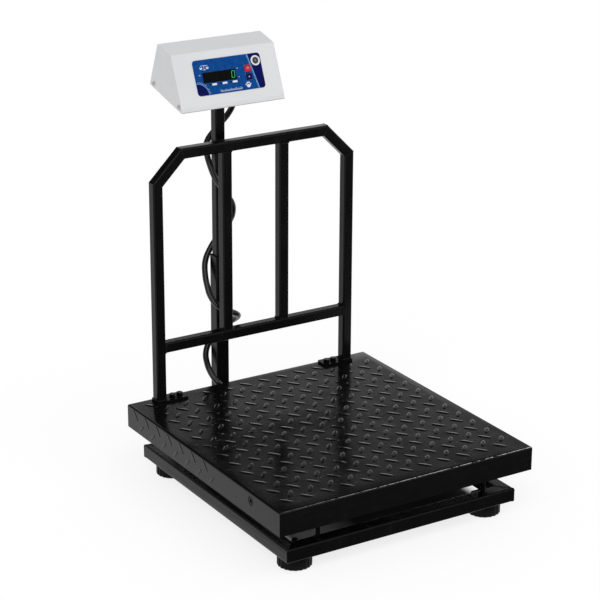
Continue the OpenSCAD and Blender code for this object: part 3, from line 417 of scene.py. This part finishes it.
def makeBoard():
    # glass-fibre circuit board: green solder resist with paler tracks under it
    colours = board["colours"]
    material, tree, shader, place = startMaterial("solderResist", colours[0], board["roughness"])
    tracks = addNode(tree, "ShaderNodeTexVoronoi",
                     {"feature": "DISTANCE_TO_EDGE", "distance": "MANHATTAN", "Scale": perMetre(board["pitch"]),
                      "Vector": place}).outputs[0]
    share = spread(tree, tracks, 1.0, 0.0, *board["track"])
    connect(tree, shader, colour=blendColours(tree, share, *colours), normal=relief(tree, share, board["depth"]))
    return material


segment = {"colours": ("0B6B33", "1EB060"), "roughness": 0.4, "cloud": (3, 1.0), "least": 0.85, "strength": 0.42}


def makeSegment():
    # green diode segment: an even glow with a slightly hotter middle
    dimmer, colour = segment["colours"]
    material, tree, shader, place = startMaterial("greenSegment", colour, segment["roughness"])
    glow = spread(tree, grain(tree, place, *segment["cloud"]), segment["least"], 1.0)
    shader.inputs["Emission Strength"].default_value = segment["strength"]
    tree.links.new(blendColours(tree, glow, dimmer, colour), shader.inputs["Emission Color"])
    return material


finishes = {
    "frame_black": makeEnamel("blackStovedEnamel", frameLook),
    "plate_black": makeEnamel("blackGlossEnamel", plateLook),
    "foot_black": makeSkin("moulded", "blackNylon", "040405", "0F0F10", 0.4, 0.9, 0.02, 0.12),
    "pad_rubber": makeSkin("moulded", "blackRubber", "111111", "2B2A28", 0.78, 1.2, 0.05, 0.3),
    "cell_aluminium": makeSkin("plated", "anodisedAluminium", "C9CBCE", "A9ACB0", 0.34, stretch=(1, 0.1, 1)),
    "screw_zinc": makeSkin("plated", "brightZincPlate", "C6C9C8", "9FA3A1", 0.27, stretch=(1, 1, 5)),
    "screw_black": makeSkin("plated", "blackOxideSteel", "1C1C1E", "0E0E0F", 0.38, stretch=(1, 1, 6)),
    "head_white": makeSkin("powder", "whitePowderCoat", "E6E7E9", "DFE0E3", 0.42, 1.0, 0.012),
    "screw_nickel": makeSkin("plated", "nickelPlate", "CFCBC2", "A6A29A", 0.22, stretch=(5, 1, 1)),
    "overlay_blue": makePrinted("filmBlue", "043F84", "0B4E98"),
    "window_dark": makeSkin("moulded", "smokedAcrylic", "030404", "070909", 0.12, 6.0, 0.004, 0.06),
    "inner_black": makeSkin("moulded", "blackAbs", "141414", "242424", 0.5, 0.8, 0.02),
    "board_green": makeBoard(),
    "battery_grey": makeSkin("moulded", "greyBatteryCase", "3A3E44", "50555C", 0.5, 0.9, 0.02),
    "transformer_steel": makeLaminations(),
    "key_red": makeSkin("moulded", "redKeycap", "C40D14", "DE2A28", 0.28, 0.6, 0.006, 0.15),
    "key_blue": makeSkin("moulded", "navyKeycap", "080F52", "141D6C", 0.28, 0.6, 0.006, 0.12),
    "seal_silver": makeSkin("moulded", "whiteNylonRing", "ECEDEE", "D6D8DA", 0.4, 0.7, 0.006),
    "black_plastic": makeSkin("moulded", "blackPolyamide", "121212", "262626", 0.4, 0.8, 0.02),
    "cable_black": makeSkin("moulded", "blackPvcSheath", "0C0C0D", "1D1D1E", 0.26, 2.4, 0.012),
}
inks = {
    "navy": makePrinted("navyInk", "060B4C", "0A105A"),
    "pale": makePrinted("paleBlueInk", "86BCE8", "9CCBEF"),
    "white": makePrinted("whiteInk", "EEF2F6", "DDE5EE"),
    "lens": makeSkin("moulded", "smokedLens", "171A12", "23271B", 0.2, 2.0, 0.004, 0.2),
    "unlit": makeSkin("moulded", "unlitSegment", "0A100C", "0E1611", 0.3, 2.0, 0.004, 0.06),
    "lit": makeSegment(),
}
darkFoil = makeSkin("plated", "darkEmbossedFoil", "7A7D80", "2C2E30", 0.3, 1.2, 0.02)
for row in frame["record"]["subparts"]:
    for holder in nodes[row["node"]].material_slots:
        holder.material = finishes[row["material_slot"]]
scuffed = makeEnamel("scuffedStovedEnamel", railLook)
for rail in ("base_left_rail", "base_right_rail"):
    for holder in nodes[rail].material_slots:
        holder.material = scuffed
print("materials done:", len(finishes))


def finishPiece(name, bm, materials, body=None, instead=(), place=None, sharp=35):
    # bm is in mm; place puts it in the row frame
    if place is not None:
        bmesh.ops.transform(bm, matrix=place, verts=bm.verts)
    bmesh.ops.scale(bm, vec=(mm, mm, mm), verts=bm.verts)
    if place is not None and place.determinant() < 0:
        bmesh.ops.reverse_faces(bm, faces=bm.faces)
    for face in bm.faces:
        face.smooth = True
    for edge in bm.edges:
        if len(edge.link_faces) == 2 and edge.calc_face_angle(0) > math.radians(sharp):
            edge.smooth = False
    piece = addMesh(name, bm, materials)
    if body:
        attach(piece, body)
    if instead:
        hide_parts(*instead)
    return piece


def readNode(name):
    # the node's mesh in mm, its corners joined again
    bm = bmesh.new()
    bm.from_mesh(nodes[name].data)
    bmesh.ops.scale(bm, vec=(1 / mm, 1 / mm, 1 / mm), verts=bm.verts)
    bmesh.ops.remove_doubles(bm, verts=bm.verts, dist=0.002)
    return bm


def moveInto(bm, part):
    mesh = bpy.data.meshes.new("part")
    part.to_mesh(mesh)
    part.free()
    bm.from_mesh(mesh)
    bpy.data.meshes.remove(mesh)


def tubeMesh(name, data, slot):
    # the solid tube along a curve
    holder = addObject(name, data)
    bpy.context.view_layer.update()
    shape = holder.evaluated_get(bpy.context.evaluated_depsgraph_get())
    mesh = bpy.data.meshes.new_from_object(shape)
    bpy.data.objects.remove(holder)
    mesh.materials.clear()
    mesh.materials.append(finishes[slot])
    mesh.shade_smooth()
    return mesh


def tubeCurve(name, radius, roundness):
    # radius in mm
    data = bpy.data.curves.new(name, "CURVE")
    data.dimensions = "3D"
    data.bevel_depth = radius * mm
    data.bevel_resolution = roundness
    data.use_fill_caps = True
    return data


# the chequered tray: the sheet as packed, with its ribs drawn again as rounded lenses, as a rolled plate has them

tray = {
    "node": "platform_tray", "slot": "plate_black", "sheetTop": 128, "sheetSide": 250,   # mm
    "proud": 0.02,          # what lies that far outside the sheet is a packed rib
    # the ribs' lattice, measured from the middle of the platform
    "pitch": (38.4, 41.6), "first": (13, 22), "angle": 51, "count": 8,
    # how far out their middles lie, and the clear places round the foot plates: middle and half size
    "within": (235.13, 243.29), "footPlates": (174.5, 241.5, 40.71, 24.71),
    "rib": (26, 8.6, 1.2), "grid": (14, 8), "sink": 0.06,
    # powers that shape a rib: the fall from its crest across, its outline, and its height along
    "fall": 4, "outline": (2, 0.6), "crown": (12, 0.8),
    # how far the crests of each family fall across and along, as shares of the height, and the height's own share
    "families": ((-0.28, 0, 1), (0.28, 0.2, 0.72)),
    "side": {"angle": 45, "from": -57.5, "to": 240.5, "middle": 106.5, "rows": 9.6, "rib": (24, 6.4, 0.8)},
}


def addRib(bm, size, place, family=(0, 0, 1)):
    long, wide, high = size
    lean, fall, share = family
    rib = bmesh.new()
    bmesh.ops.create_grid(rib, x_segments=tray["grid"][0], y_segments=tray["grid"][1], size=1)
    for v in rib.verts:
        along, across = v.co.x, v.co.y
        breadth, height = ((1 - along ** inner) ** outer for inner, outer in (tray["outline"], tray["crown"]))
        crest = share * (1 - across ** tray["fall"]) * (1 + lean * across) * (1 - fall * along)
        v.co = (along * long / 2, across * breadth * wide / 2, high * height * crest - tray["sink"])
    bmesh.ops.remove_doubles(rib, verts=rib.verts, dist=0.001)
    bmesh.ops.holes_fill(rib, edges=[e for e in rib.edges if e.is_boundary], sides=0)
    bmesh.ops.recalc_face_normals(rib, faces=rib.faces)
    bmesh.ops.transform(rib, matrix=place, verts=rib.verts)
    moveInto(bm, rib)


def makeTray():
    bm = readNode(tray["node"])
    ribs = [f for f in bm.faces if f.calc_center_median().z > tray["sheetTop"] + tray["proud"]
            or abs(f.calc_center_median().x) > tray["sheetSide"] + tray["proud"]]
    bmesh.ops.delete(bm, geom=ribs, context="FACES")
    bmesh.ops.holes_fill(bm, edges=[e for e in bm.edges if e.is_boundary], sides=0)
    steps = range(-tray["count"], tray["count"] + 1)
    turn = math.radians(tray["angle"])
    farX, farY = tray["within"]
    footX, footY, clearX, clearY = tray["footPlates"]
    count = 0
    for i, j, k in product(steps, steps, (0, 1)):
        x, y = (first + (step + k / 2) * pitch for first, step, pitch in zip(tray["first"], (i, j), tray["pitch"]))
        underFoot = abs(abs(x) - footX) < clearX and abs(y - footY) < clearY
        if abs(x) < farX and abs(y) < farY and not underFoot:
            addRib(bm, tray["rib"], Matrix.Translation((x, y + platformY, tray["sheetTop"]))
                   @ Matrix.Rotation(turn if k else -turn, 4, "Z"), tray["families"][k])
            count += 1
    side = tray["side"]
    turn = math.radians(side["angle"])
    for s in (-1, 1):
        wall = (Matrix.Translation((s * tray["sheetSide"], platformY, side["middle"]))
                @ Matrix.Rotation(s * math.pi / 2, 4, "Z") @ Matrix.Rotation(math.pi / 2, 4, "X"))
        for j, k in product(steps, (0, 1)):
            y = tray["first"][1] + (j + k / 2) * tray["pitch"][1]
            if side["from"] < y < side["to"]:
                addRib(bm, side["rib"], wall @ Matrix.Translation((s * y, side["rows"] * (1 - 2 * k), 0))
                       @ Matrix.Rotation(turn if k else -turn, 4, "Z"))
                count += 1
    slot = tray["slot"]
    finishPiece("chequerTray", bm, [finishes[slot]], "platform", [tray["node"]])
    print("tray done:", count, "ribs")


makeTray()

# the load cell as packed, its mesh copied with smooth shading

loadCell = {"node": "load_cell", "slot": "cell_aluminium", "bore": 16, "height": 75}   # mm


def makeCell():
    slot = loadCell["slot"]
    piece = finishPiece("bendingCell", readNode(loadCell["node"]), [finishes[slot]],
                        instead=[loadCell["node"]])
    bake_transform(piece)
    print("load cell done")


makeCell()

# prints and marks: closed slabs a few hundredths of a millimetre thick, sunk a little into what carries them

def slab(bm, outline, low, high, material=0, place=None):
    # the outline may run either way round
    if sum(a[0] * b[1] - b[0] * a[1] for a, b in zip(outline, outline[1:] + outline[:1])) < 0:
        outline = outline[::-1]
    under, over = ([bm.verts.new((x, y, z)) for x, y in outline] for z in (low, high))
    faces = [bm.faces.new(under[::-1]), bm.faces.new(over)]
    faces += [bm.faces.new(wall) for wall in zip(under, under[1:] + under[:1], over[1:] + over[:1], over)]
    for face in faces:
        face.material_index = material
    if place is not None:
        bmesh.ops.transform(bm, matrix=place, verts=under + over)


def arc(middle, radius, start, stop, steps=12):
    turns = [math.radians(start + (stop - start) * i / steps) for i in range(steps + 1)]
    return [(middle[0] + radius * math.cos(t), middle[1] + radius * math.sin(t)) for t in turns]


def oval(middle, wide, high, turn=0.0, steps=20):
    x, y = middle
    spin = math.radians(turn)
    around = [2 * math.pi * i / steps for i in range(steps)]
    return [(x + wide * math.cos(t) * math.cos(spin) - high * math.sin(t) * math.sin(spin),
             y + wide * math.cos(t) * math.sin(spin) + high * math.sin(t) * math.cos(spin)) for t in around]


def bar(x, y, wide, high):
    return [(x - wide / 2, y - high / 2), (x + wide / 2, y - high / 2), (x + wide / 2, y + high / 2),
            (x - wide / 2, y + high / 2)]


def arm(start, stop, wide):
    # a straight stroke between two places
    along = (Vector(stop) - Vector(start)).normalized() * wide / 2
    side = Vector((-along.y, along.x))
    return [tuple(Vector(start) - side), tuple(Vector(stop) - side), tuple(Vector(stop) + side),
            tuple(Vector(start) + side)]


# mm; the first row is the height of the slabs' backs and of their three kinds of face
panelPrint = {
    "low": 0.57, "ground": 0.63, "line": 0.67, "mark": 0.7,
    "left": -64.7, "right": 68.2, "bottom": 17.35, "top": 78.25, "corner": 5.4,
    "slant": (45.0, 57.5),                       # x of the dark side's edge at the top and at the bottom
    "stripes": ((1.0, 0.8), (2.8, 0.4)),         # pale lines beside it: distance and width
    "dial": {"disc": 20, "ring": (21.2, 21.9), "ticks": (23.0, 24.4, 25.4), "count": 12, "tick": 0.5},
    "ruler": {"from": -20, "step": 2, "count": 22, "foot": 20.6, "short": 2.0, "long": 3.6, "every": 5, "line": 0.5},
    "balance": {"middle": (-44, 68.5), "half": 6.2, "stem": 7.4, "hang": 3.7, "pan": 2.7, "line": 0.7, "cord": 0.35},
    "paw": {"middle": (35.5, 24.6), "pad": (3.6, 2.7), "drop": 1.2, "toe": (1.25, 1.7),
            "toes": ((-4.3, 1.6, 28), (-1.6, 4.3, 10), (1.6, 4.3, -10), (4.3, 1.6, -28))},
    # bars in place of words, each with a small lens to its left
    "labels": {"x": (-30, -9.4, 10.6), "y": 34.2, "size": (9.2, 3.3), "lens": (-8.4, 0.2), "lensSize": (5.2, 2.805)},
    "pips": ((19.6, 56.4, 1.7), (20.4, 41.2, 1.5), (-56.2, 52.4, 1.5), (-54.2, 52.2, 0.9)), "pipShape": 0.7,
}


def printPanel():
    bm = bmesh.new()
    navy, pale, white, lens = range(4)
    low, ground, line, mark = (panelPrint[k] for k in ("low", "ground", "line", "mark"))
    left, right, bottom, top, r = (panelPrint[k] for k in ("left", "right", "bottom", "top", "corner"))
    upper, lower = panelPrint["slant"]
    slab(bm, [(lower, bottom)] + arc((right - r, bottom + r), r, -90, 0, 8)
         + arc((right - r, top - r), r, 0, 90, 8) + [(upper, top)], low, ground, navy)
    for away, wide in panelPrint["stripes"]:
        slab(bm, [(lower - away - wide, bottom), (lower - away, bottom), (upper - away, top),
                  (upper - away - wide, top)], low, line, pale)
    dial = panelPrint["dial"]
    hub = (left, bottom)
    slab(bm, arc((left + r, bottom + r), r, 180, 270, 8) + arc(hub, dial["disc"], 0, 90, 24), low, ground, navy)
    inner, outer = dial["ring"]
    slab(bm, arc(hub, inner, 0, 90, 30) + arc(hub, outer, 90, 0, 30), low, line, pale)
    for i in range(1, dial["count"]):
        turn = math.radians(90 * i / dial["count"])
        ray = Vector((math.cos(turn), math.sin(turn)))
        near, short, far = (Vector(hub) + ray * reach for reach in dial["ticks"])
        slab(bm, arm(near, far if i % 3 == 0 else short, dial["tick"]), low, mark, white)
    ruler = panelPrint["ruler"]
    wide = ruler["line"]
    for i in range(ruler["count"]):
        high = ruler["long"] if i % ruler["every"] == 0 else ruler["short"]
        slab(bm, bar(ruler["from"] + i * ruler["step"], ruler["foot"] + high / 2, wide, high), low, mark, white)
    long = (ruler["count"] - 1) * ruler["step"]
    slab(bm, bar(ruler["from"] + long / 2, ruler["foot"] - wide, long + 2 * wide, wide), low, line, white)
    scales = panelPrint["balance"]
    x, y = scales["middle"]
    half, stem, hang, pan, wide, cord = (scales[k] for k in ("half", "stem", "hang", "pan", "line", "cord"))
    slab(bm, bar(x, y - stem / 2, wide, stem), low, mark, white)
    slab(bm, bar(x, y - stem, half, wide), low, line, white)
    slab(bm, bar(x, y, 2 * half, wide), low, line, white)
    for tip in (x - half, x + half):
        for foot in (-pan, pan):
            slab(bm, arm((tip, y), (tip + foot, y - hang), cord), low, mark, white)
        slab(bm, arc((tip, y - hang), pan, 180, 360, 12), low, ground, white)
    paw = panelPrint["paw"]
    x, y = paw["middle"]
    slab(bm, oval((x, y - paw["drop"]), *paw["pad"]), low, mark, white)
    for dx, dy, turn in paw["toes"]:
        slab(bm, oval((x + dx, y + dy), *paw["toe"], turn, 14), low, mark, white)
    labels = panelPrint["labels"]
    dx, dy = labels["lens"]
    for x in labels["x"]:
        slab(bm, bar(x, labels["y"], *labels["size"]), low, mark, white)
        slab(bm, bar(x + dx, labels["y"] + dy, *labels["lensSize"]), low, mark, lens)
    for x, y, size in panelPrint["pips"]:
        slab(bm, bar(x, y, size, size * panelPrint["pipShape"]), low, mark, white)
    finishPiece("panelPrint", bm, [inks[k] for k in ("navy", "pale", "white", "lens")], "head",
                place=onFront)
    print("panel print done")


printPanel()

# middles of the digits from right to left, in mm, and their lean in degrees
digits = {
    "x": (9.8, -0.6, -11, -21.4, -31.8, -42.2), "y": 47.2, "wide": 6.8, "high": 12.7, "stroke": 1.0, "gap": 0.25,
    "lean": 6, "low": 0.77, "top": 0.84,
}


def makeDigits():
    # seven-segment figures behind the window; the last one shows a nought
    lit, unlit = bmesh.new(), bmesh.new()
    stroke, gap = digits["stroke"], digits["gap"]
    reachX = (digits["wide"] - stroke) / 2
    reachY = (digits["high"] - stroke) / 2
    lean = math.tan(math.radians(digits["lean"]))
    level = [(0, reachY), (0, 0), (0, -reachY)]
    upright = [(sx * reachX, sy * reachY / 2) for sx in (-1, 1) for sy in (-1, 1)]
    for number, across in enumerate(digits["x"]):
        for x, y, long, stands in [(*p, 2 * reachX, False) for p in level] + [(*p, reachY, True) for p in upright]:
            end, half = long / 2 - gap / 2, stroke / 2
            shape = [(-end, 0), (half - end, -half), (end - half, -half), (end, 0), (end - half, half),
                     (half - end, half)]
            if stands:
                shape = [(-b, a) for a, b in shape]
            outline = [(across + x + a + lean * (y + b), digits["y"] + y + b) for a, b in shape]
            dark = number > 0 or (x, y) == (0, 0)
            slab(unlit if dark else lit, outline, digits["low"], digits["top"])
    finishPiece("litDigit", lit, [inks["lit"]], "head", place=onFront)
    finishPiece("unlitDigits", unlit, [inks["unlit"]], "head", place=onFront)
    print("digits done")


makeDigits()

keyMarks = {
    "low": 1.56, "top": 1.64, "red": (39.75, 54.0), "blue": (39.75, 38.8), "dot": 1.0,
    # radii of the ring, degrees from which to which it runs, size of the stroke and how far up it lies
    "ring": (2.0, 2.4), "open": (120, 420), "stroke": (0.4, 2.6), "strokeUp": 1.7,
}


def markKeys():
    # a stand-by sign on the red key, a dot on the navy one
    low, top = keyMarks["low"], keyMarks["top"]
    inner, outer = keyMarks["ring"]
    start, stop = keyMarks["open"]
    x, y = middle = keyMarks["red"]
    bm = bmesh.new()
    slab(bm, arc(middle, inner, start, stop, 30) + arc(middle, outer, stop, start, 30), low, top)
    slab(bm, bar(x, y + keyMarks["strokeUp"], *keyMarks["stroke"]), low, top)
    finishPiece("redKeyMark", bm, [inks["white"]], "key_red", place=onFront)
    bm = bmesh.new()
    slab(bm, oval(keyMarks["blue"], keyMarks["dot"], keyMarks["dot"], steps=24), low, top)
    finishPiece("blueKeyMark", bm, [inks["white"]], "key_blue", place=onFront)
    print("key marks done")


markKeys()

sealCore = {
    "middle": (58.05, 65.4), "low": 1.17, "steps": 48,
    # radius and height along the embossed face, from the middle out
    "profile": ((0, 1.62), (1.5, 1.6), (2.0, 1.36), (2.6, 1.34), (3.0, 1.52), (3.5, 1.52), (3.9, 1.3), (4.6, 1.28),
                (5.0, 1.46), (5.5, 1.44), (5.85, 1.22)),
    "dark": 2.9,         # the face is black outside this radius
    "sharp": 60,
}


def makeSealCore():
    bm = bmesh.new()
    rim = sealCore["profile"][-1][0]
    points = [(0, sealCore["low"]), (rim, sealCore["low"]), *reversed(sealCore["profile"])]
    steps = sealCore["steps"]
    rings = [[bm.verts.new((x, y, z)) for x, y in oval((0, 0), r, r, steps=steps if r else 1)] for r, z in points]
    for (a, b), i in product(zip(rings, rings[1:]), range(steps)):
        corners = [a[i % len(a)], a[(i + 1) % len(a)], b[(i + 1) % len(b)], b[i % len(b)]]
        face = bm.faces.new(list(dict.fromkeys(corners)))
        face.material_index = int(max(v.co.xy.length for v in face.verts) > sealCore["dark"])
    bmesh.ops.translate(bm, vec=(*sealCore["middle"], 0), verts=bm.verts)
    finishPiece("sealCore", bm, [darkFoil, finishes["black_plastic"]], "head", place=onFront,
                sharp=sealCore["sharp"])
    print("seal done")


makeSealCore()

backPieces = {
    "blades": ((33, 34), (40, 39), (47, 34)), "blade": (2.2, 4.2, -12.0, -1.9), "bladeEdge": 0.5,
    "rocker": (-46, 36, -2.5), "tilt": 10, "barrel": (-1, 6.4), "markAt": 2.35,
    # sizes or radii, and where each starts and ends below and above the barrel's face
    "bar": (2.6, 0.7), "barDepth": (-0.06, 0.04), "ring": (1.15, 0.55), "ringDepth": (-0.14, 0.03),
}


def makeBackPieces():
    # plated blades in the mains inlet, and I and O on the rocker
    bm = bmesh.new()
    wide, high, low, top = backPieces["blade"]
    for x, y in backPieces["blades"]:
        blade = bmesh.new()
        slab(blade, bar(x, y, wide, high), low, top)
        bmesh.ops.bevel(blade, geom=list(blade.edges), affect="EDGES", offset=backPieces["bladeEdge"], segments=2,
                        profile=0.5, material=-1)
        moveInto(bm, blade)
    finishPiece("inletBlades", bm, [finishes["screw_nickel"]], "head", place=onRear)
    bm = bmesh.new()
    axis, radius = backPieces["barrel"]
    turn = math.asin(backPieces["markAt"] / radius)
    onBar, onRing = (Matrix.Translation((0, 0, axis)) @ Matrix.Rotation(side * turn, 4, "X")
                     @ Matrix.Translation((0, 0, radius)) for side in (-1, 1))
    slab(bm, bar(0, 0, *backPieces["bar"]), *backPieces["barDepth"], 0, onBar)
    outer, inner = backPieces["ring"]
    for start in (0, 180):
        slab(bm, arc((0, 0), outer, start, start + 180, 16) + arc((0, 0), inner, start + 180, start, 16),
             *backPieces["ringDepth"], 0, onRing)
    seat = (onRear @ Matrix.Translation(backPieces["rocker"])
            @ Matrix.Rotation(math.radians(backPieces["tilt"]), 4, "X"))
    finishPiece("rockerMarks", bm, [inks["white"]], "power_rocker", place=seat)
    print("inlet blades and rocker marks done")


makeBackPieces()

# weld beads: each runs round a square tube where it meets the next piece; lengths in mm

welds = {
    "corner": 3, "stride": 0.45, "ripple": 1.5, "rise": 0.22, "flat": 0.6, "wander": 0.35,
    # "lighter" and "ground" are the radii of lighter beads and of those ground almost flush
    "guard": {"y": 198.498, "tube": 19, "radius": 1.5, "lighter": 1.275, "postX": 195, "postZ": 132,
              "railX": 185.5, "railZ": 229.5, "barX": 58, "barZ": (239, 569),
              # outer and inner corners of the mitres either side of the sloping tube
              "mitres": (((204.5, 533), (185.5, 525.13)), ((149.5, 588), (141.63, 569))), "ground": 0.6, "short": 0.5},
    "base": {"tube": 25, "radius": 1.7, "side": 202, "height": 37.5, "ends": ((-263.0, -1), (177.0, 1)),
             "crosses": ((66.998, 25), (-94.002, 50)), "ground": 0.765, "short": (0.6, 0.5)},
    # under the plate the beads leave out the tubes' top, where the plate lies
    "live": {"tube": 25, "radius": 1.4, "height": 112.5, "side": 234, "ends": (-274.502, 188.498),
             "cross": (221.5, 7.998, 50)},
    "neck": {"tube": 19, "under": 3, "radius": 1.3},
}
toRight, toBack, toTop = (1, 0, 0), (0, 1, 0), (0, 0, 1)


def beadLoop(middle, across, along, wide, high, under=False):
    # places round a rounded rectangle in the plane of two directions, or only down, under and up again
    middle, across, along = Vector(middle), Vector(across).normalized(), Vector(along).normalized()
    r = welds["corner"]
    outline = []
    for sx, sy, start in ((1, 1, 0), (-1, 1, 90), (-1, -1, 180), (1, -1, 270))[2 * under:]:
        outline += arc((sx * (wide / 2 - r), sy * (high / 2 - r)), r, start, start + 90, 10)
    if under:
        outline = [(-wide / 2, high / 2 - r)] + outline + [(wide / 2, high / 2 - r)]
    line = []
    for a, b in zip(outline, outline[1:] + outline[:1]):
        if under and b == outline[0]:
            break
        a, b = Vector(a), Vector(b)
        steps = max(1, round((b - a).length / welds["stride"]))
        line += [a.lerp(b, i / steps) for i in range(steps)]
    return [middle + across * p.x + along * p.y for p in line]


def makeWelds(name, body, loops):
    # the bead swells and thins as the torch moved on, in steps like scales
    data = tubeCurve(name, 1, 2)
    for points, radius in loops:
        line = data.splines.new("POLY")
        line.points.add(len(points) - 1)
        line.use_cyclic_u = (points[0] - points[-1]).length < 2 * welds["stride"]
        run = 0.0
        for i, (point, place) in enumerate(zip(line.points, points)):
            run += (place - points[i - 1]).length if i else 0.0
            phase = (run / welds["ripple"]) % 1.0
            swell = (1 - phase) * welds["flat"] + noise.noise(place * welds["wander"])
            point.co = (*(place * mm), 1)
            point.radius = radius * (1 + welds["rise"] * swell)
    piece = addObject(name, tubeMesh(name, data, "frame_black"))
    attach(piece, body)
    print(name, "done:", len(loops), "beads")


def weldGuard():
    guard = welds["guard"]
    y, tube, lighter = (guard[k] for k in ("y", "tube", "lighter"))
    loops = []
    for side in (-1, 1):
        loops.append((beadLoop((side * guard["postX"], y, guard["postZ"]), toRight, toBack, tube, tube),
                      guard["radius"]))
        loops.append((beadLoop((side * guard["railX"], y, guard["railZ"]), toBack, toTop, tube, tube), lighter))
        for z in guard["barZ"]:
            loops.append((beadLoop((side * guard["barX"], y, z), toRight, toBack, tube, tube), lighter))
        for outer, inner in guard["mitres"]:
            seam = Vector((side * (outer[0] - inner[0]), 0, outer[1] - inner[1]))
            middle = (side * (outer[0] + inner[0]) / 2, y, (outer[1] + inner[1]) / 2)
            loops.append((beadLoop(middle, seam, toBack, seam.length - guard["short"], tube - guard["short"]),
                          guard["ground"]))
    makeWelds("guardWelds", "platform", loops)


def weldBase():
    base = welds["base"]
    tube, x, height = (base[k] for k in ("tube", "side", "height"))
    shortLong, shortHigh = base["short"]
    loops = []
    for side in (-1, 1):
        for y, out in base["ends"]:
            seam = Vector((side, out, 0))
            middle = (side * (x + tube / 2), y + out * tube / 2, height)
            loops.append((beadLoop(middle, seam, toTop, tube * math.sqrt(2) - shortLong, tube - shortHigh),
                          base["ground"]))
        for y, wide in base["crosses"]:
            loops.append((beadLoop((side * x, y, height), toBack, toTop, wide, tube), base["radius"]))
    makeWelds("baseWelds", "base", loops)


def weldLive():
    live = welds["live"]
    tube, radius, height = (live[k] for k in ("tube", "radius", "height"))
    crossX, crossY, crossWide = live["cross"]
    loops = []
    for side in (-1, 1):
        for y in live["ends"]:
            loops.append((beadLoop((side * live["side"], y, height), toRight, toTop, tube, tube, True), radius))
        loops.append((beadLoop((side * crossX, crossY, height), toBack, toTop, crossWide, tube, True), radius))
    makeWelds("liveWelds", "platform", loops)


def weldHead():
    neck = welds["neck"]
    tube, down = neck["tube"], neck["under"]
    tilt = math.radians(headPlace["tilt"])
    place = headMatrix((0, -down * math.tan(tilt), -down)).to_translation()
    along = (0, math.cos(tilt), math.sin(tilt))
    makeWelds("neckWeld", "head", [(beadLoop(place, toRight, along, tube, tube / math.cos(tilt)), neck["radius"])])


weldGuard()
weldBase()
weldLive()
weldHead()


# cable from the indicator round the mast and over the base to the load cell

cable = {
    "diameter": 11, "roundness": 5, "steps": 5,
    # across and back from the mast's axis, and height above the floor
    "down": [(37, -1.9, 670.8), (37, 2.2, 654.3), (37, 4.4, 645.5), (36, 9, 633), (32, 15, 619),
             (24, 20, 606), (13, 22, 595), (2, 22, 584), (-9, 20, 573), (-17, 13, 561), (-19, 5, 548),
             (-18, -4, 531), (-14, -13, 512), (-4, -18, 494), (8, -18, 477), (19, -15, 460), (25, -7, 442),
             (26, 4, 424), (20, 16, 405), (9, 23, 387), (-5, 24, 368), (-17, 20, 349), (-23, 11, 328),
             (-25, 0, 308), (-24, -10, 291), (-16, -20, 276), (-3, -22, 266), (12, -21, 258), (26, -17, 250),
             (33, -8, 241), (30, 8, 229), (20, 20, 216), (6, 25, 202), (-9, 24, 188), (-20, 17, 173),
             (-24, 6, 157), (-23, -7, 141), (-16, -18, 126), (-4, -21.5, 113), (8, -22, 102), (18, -22, 91),
             (24, -22, 80), (27, -25, 70), (27, -33, 62), (27, -45, 58), (27, -62, 56)],
    # across and back from the middle of the platform, and height
    "over": [(-18, 200, 54), (-20, 170, 53), (-24, 140, 55), (-29, 118, 56.5), (-34, 95, 56.5), (-40, 65, 56),
             (-44, 35, 58), (-46, 5, 63), (-46, -20, 69), (-42, -40, 73), (-33, -50, 75), (-26, -52, 75),
             (-19, -52, 75)],
    "stretch": (100, 655),   # heights between which it follows the mast
}


def makeCable():
    left, back = mastPlace
    route = [Vector((left + x, back + y, z)) * mm for x, y, z in cable["down"]]
    route += [Vector((x, y + platformY, z)) * mm for x, y, z in cable["over"]]
    data = tubeCurve("cableLine", cable["diameter"] / 2, cable["roundness"])
    data.resolution_u = cable["steps"]
    line = data.splines.new("BEZIER")
    line.bezier_points.add(len(route) - 1)
    for point, place in zip(line.bezier_points, route):
        point.co = place
        point.handle_left_type = point.handle_right_type = "AUTO"
    piece = addObject("signalCable", tubeMesh("cableLine", data, "cable_black"))
    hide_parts("cable")
    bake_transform(piece)


makeCable()
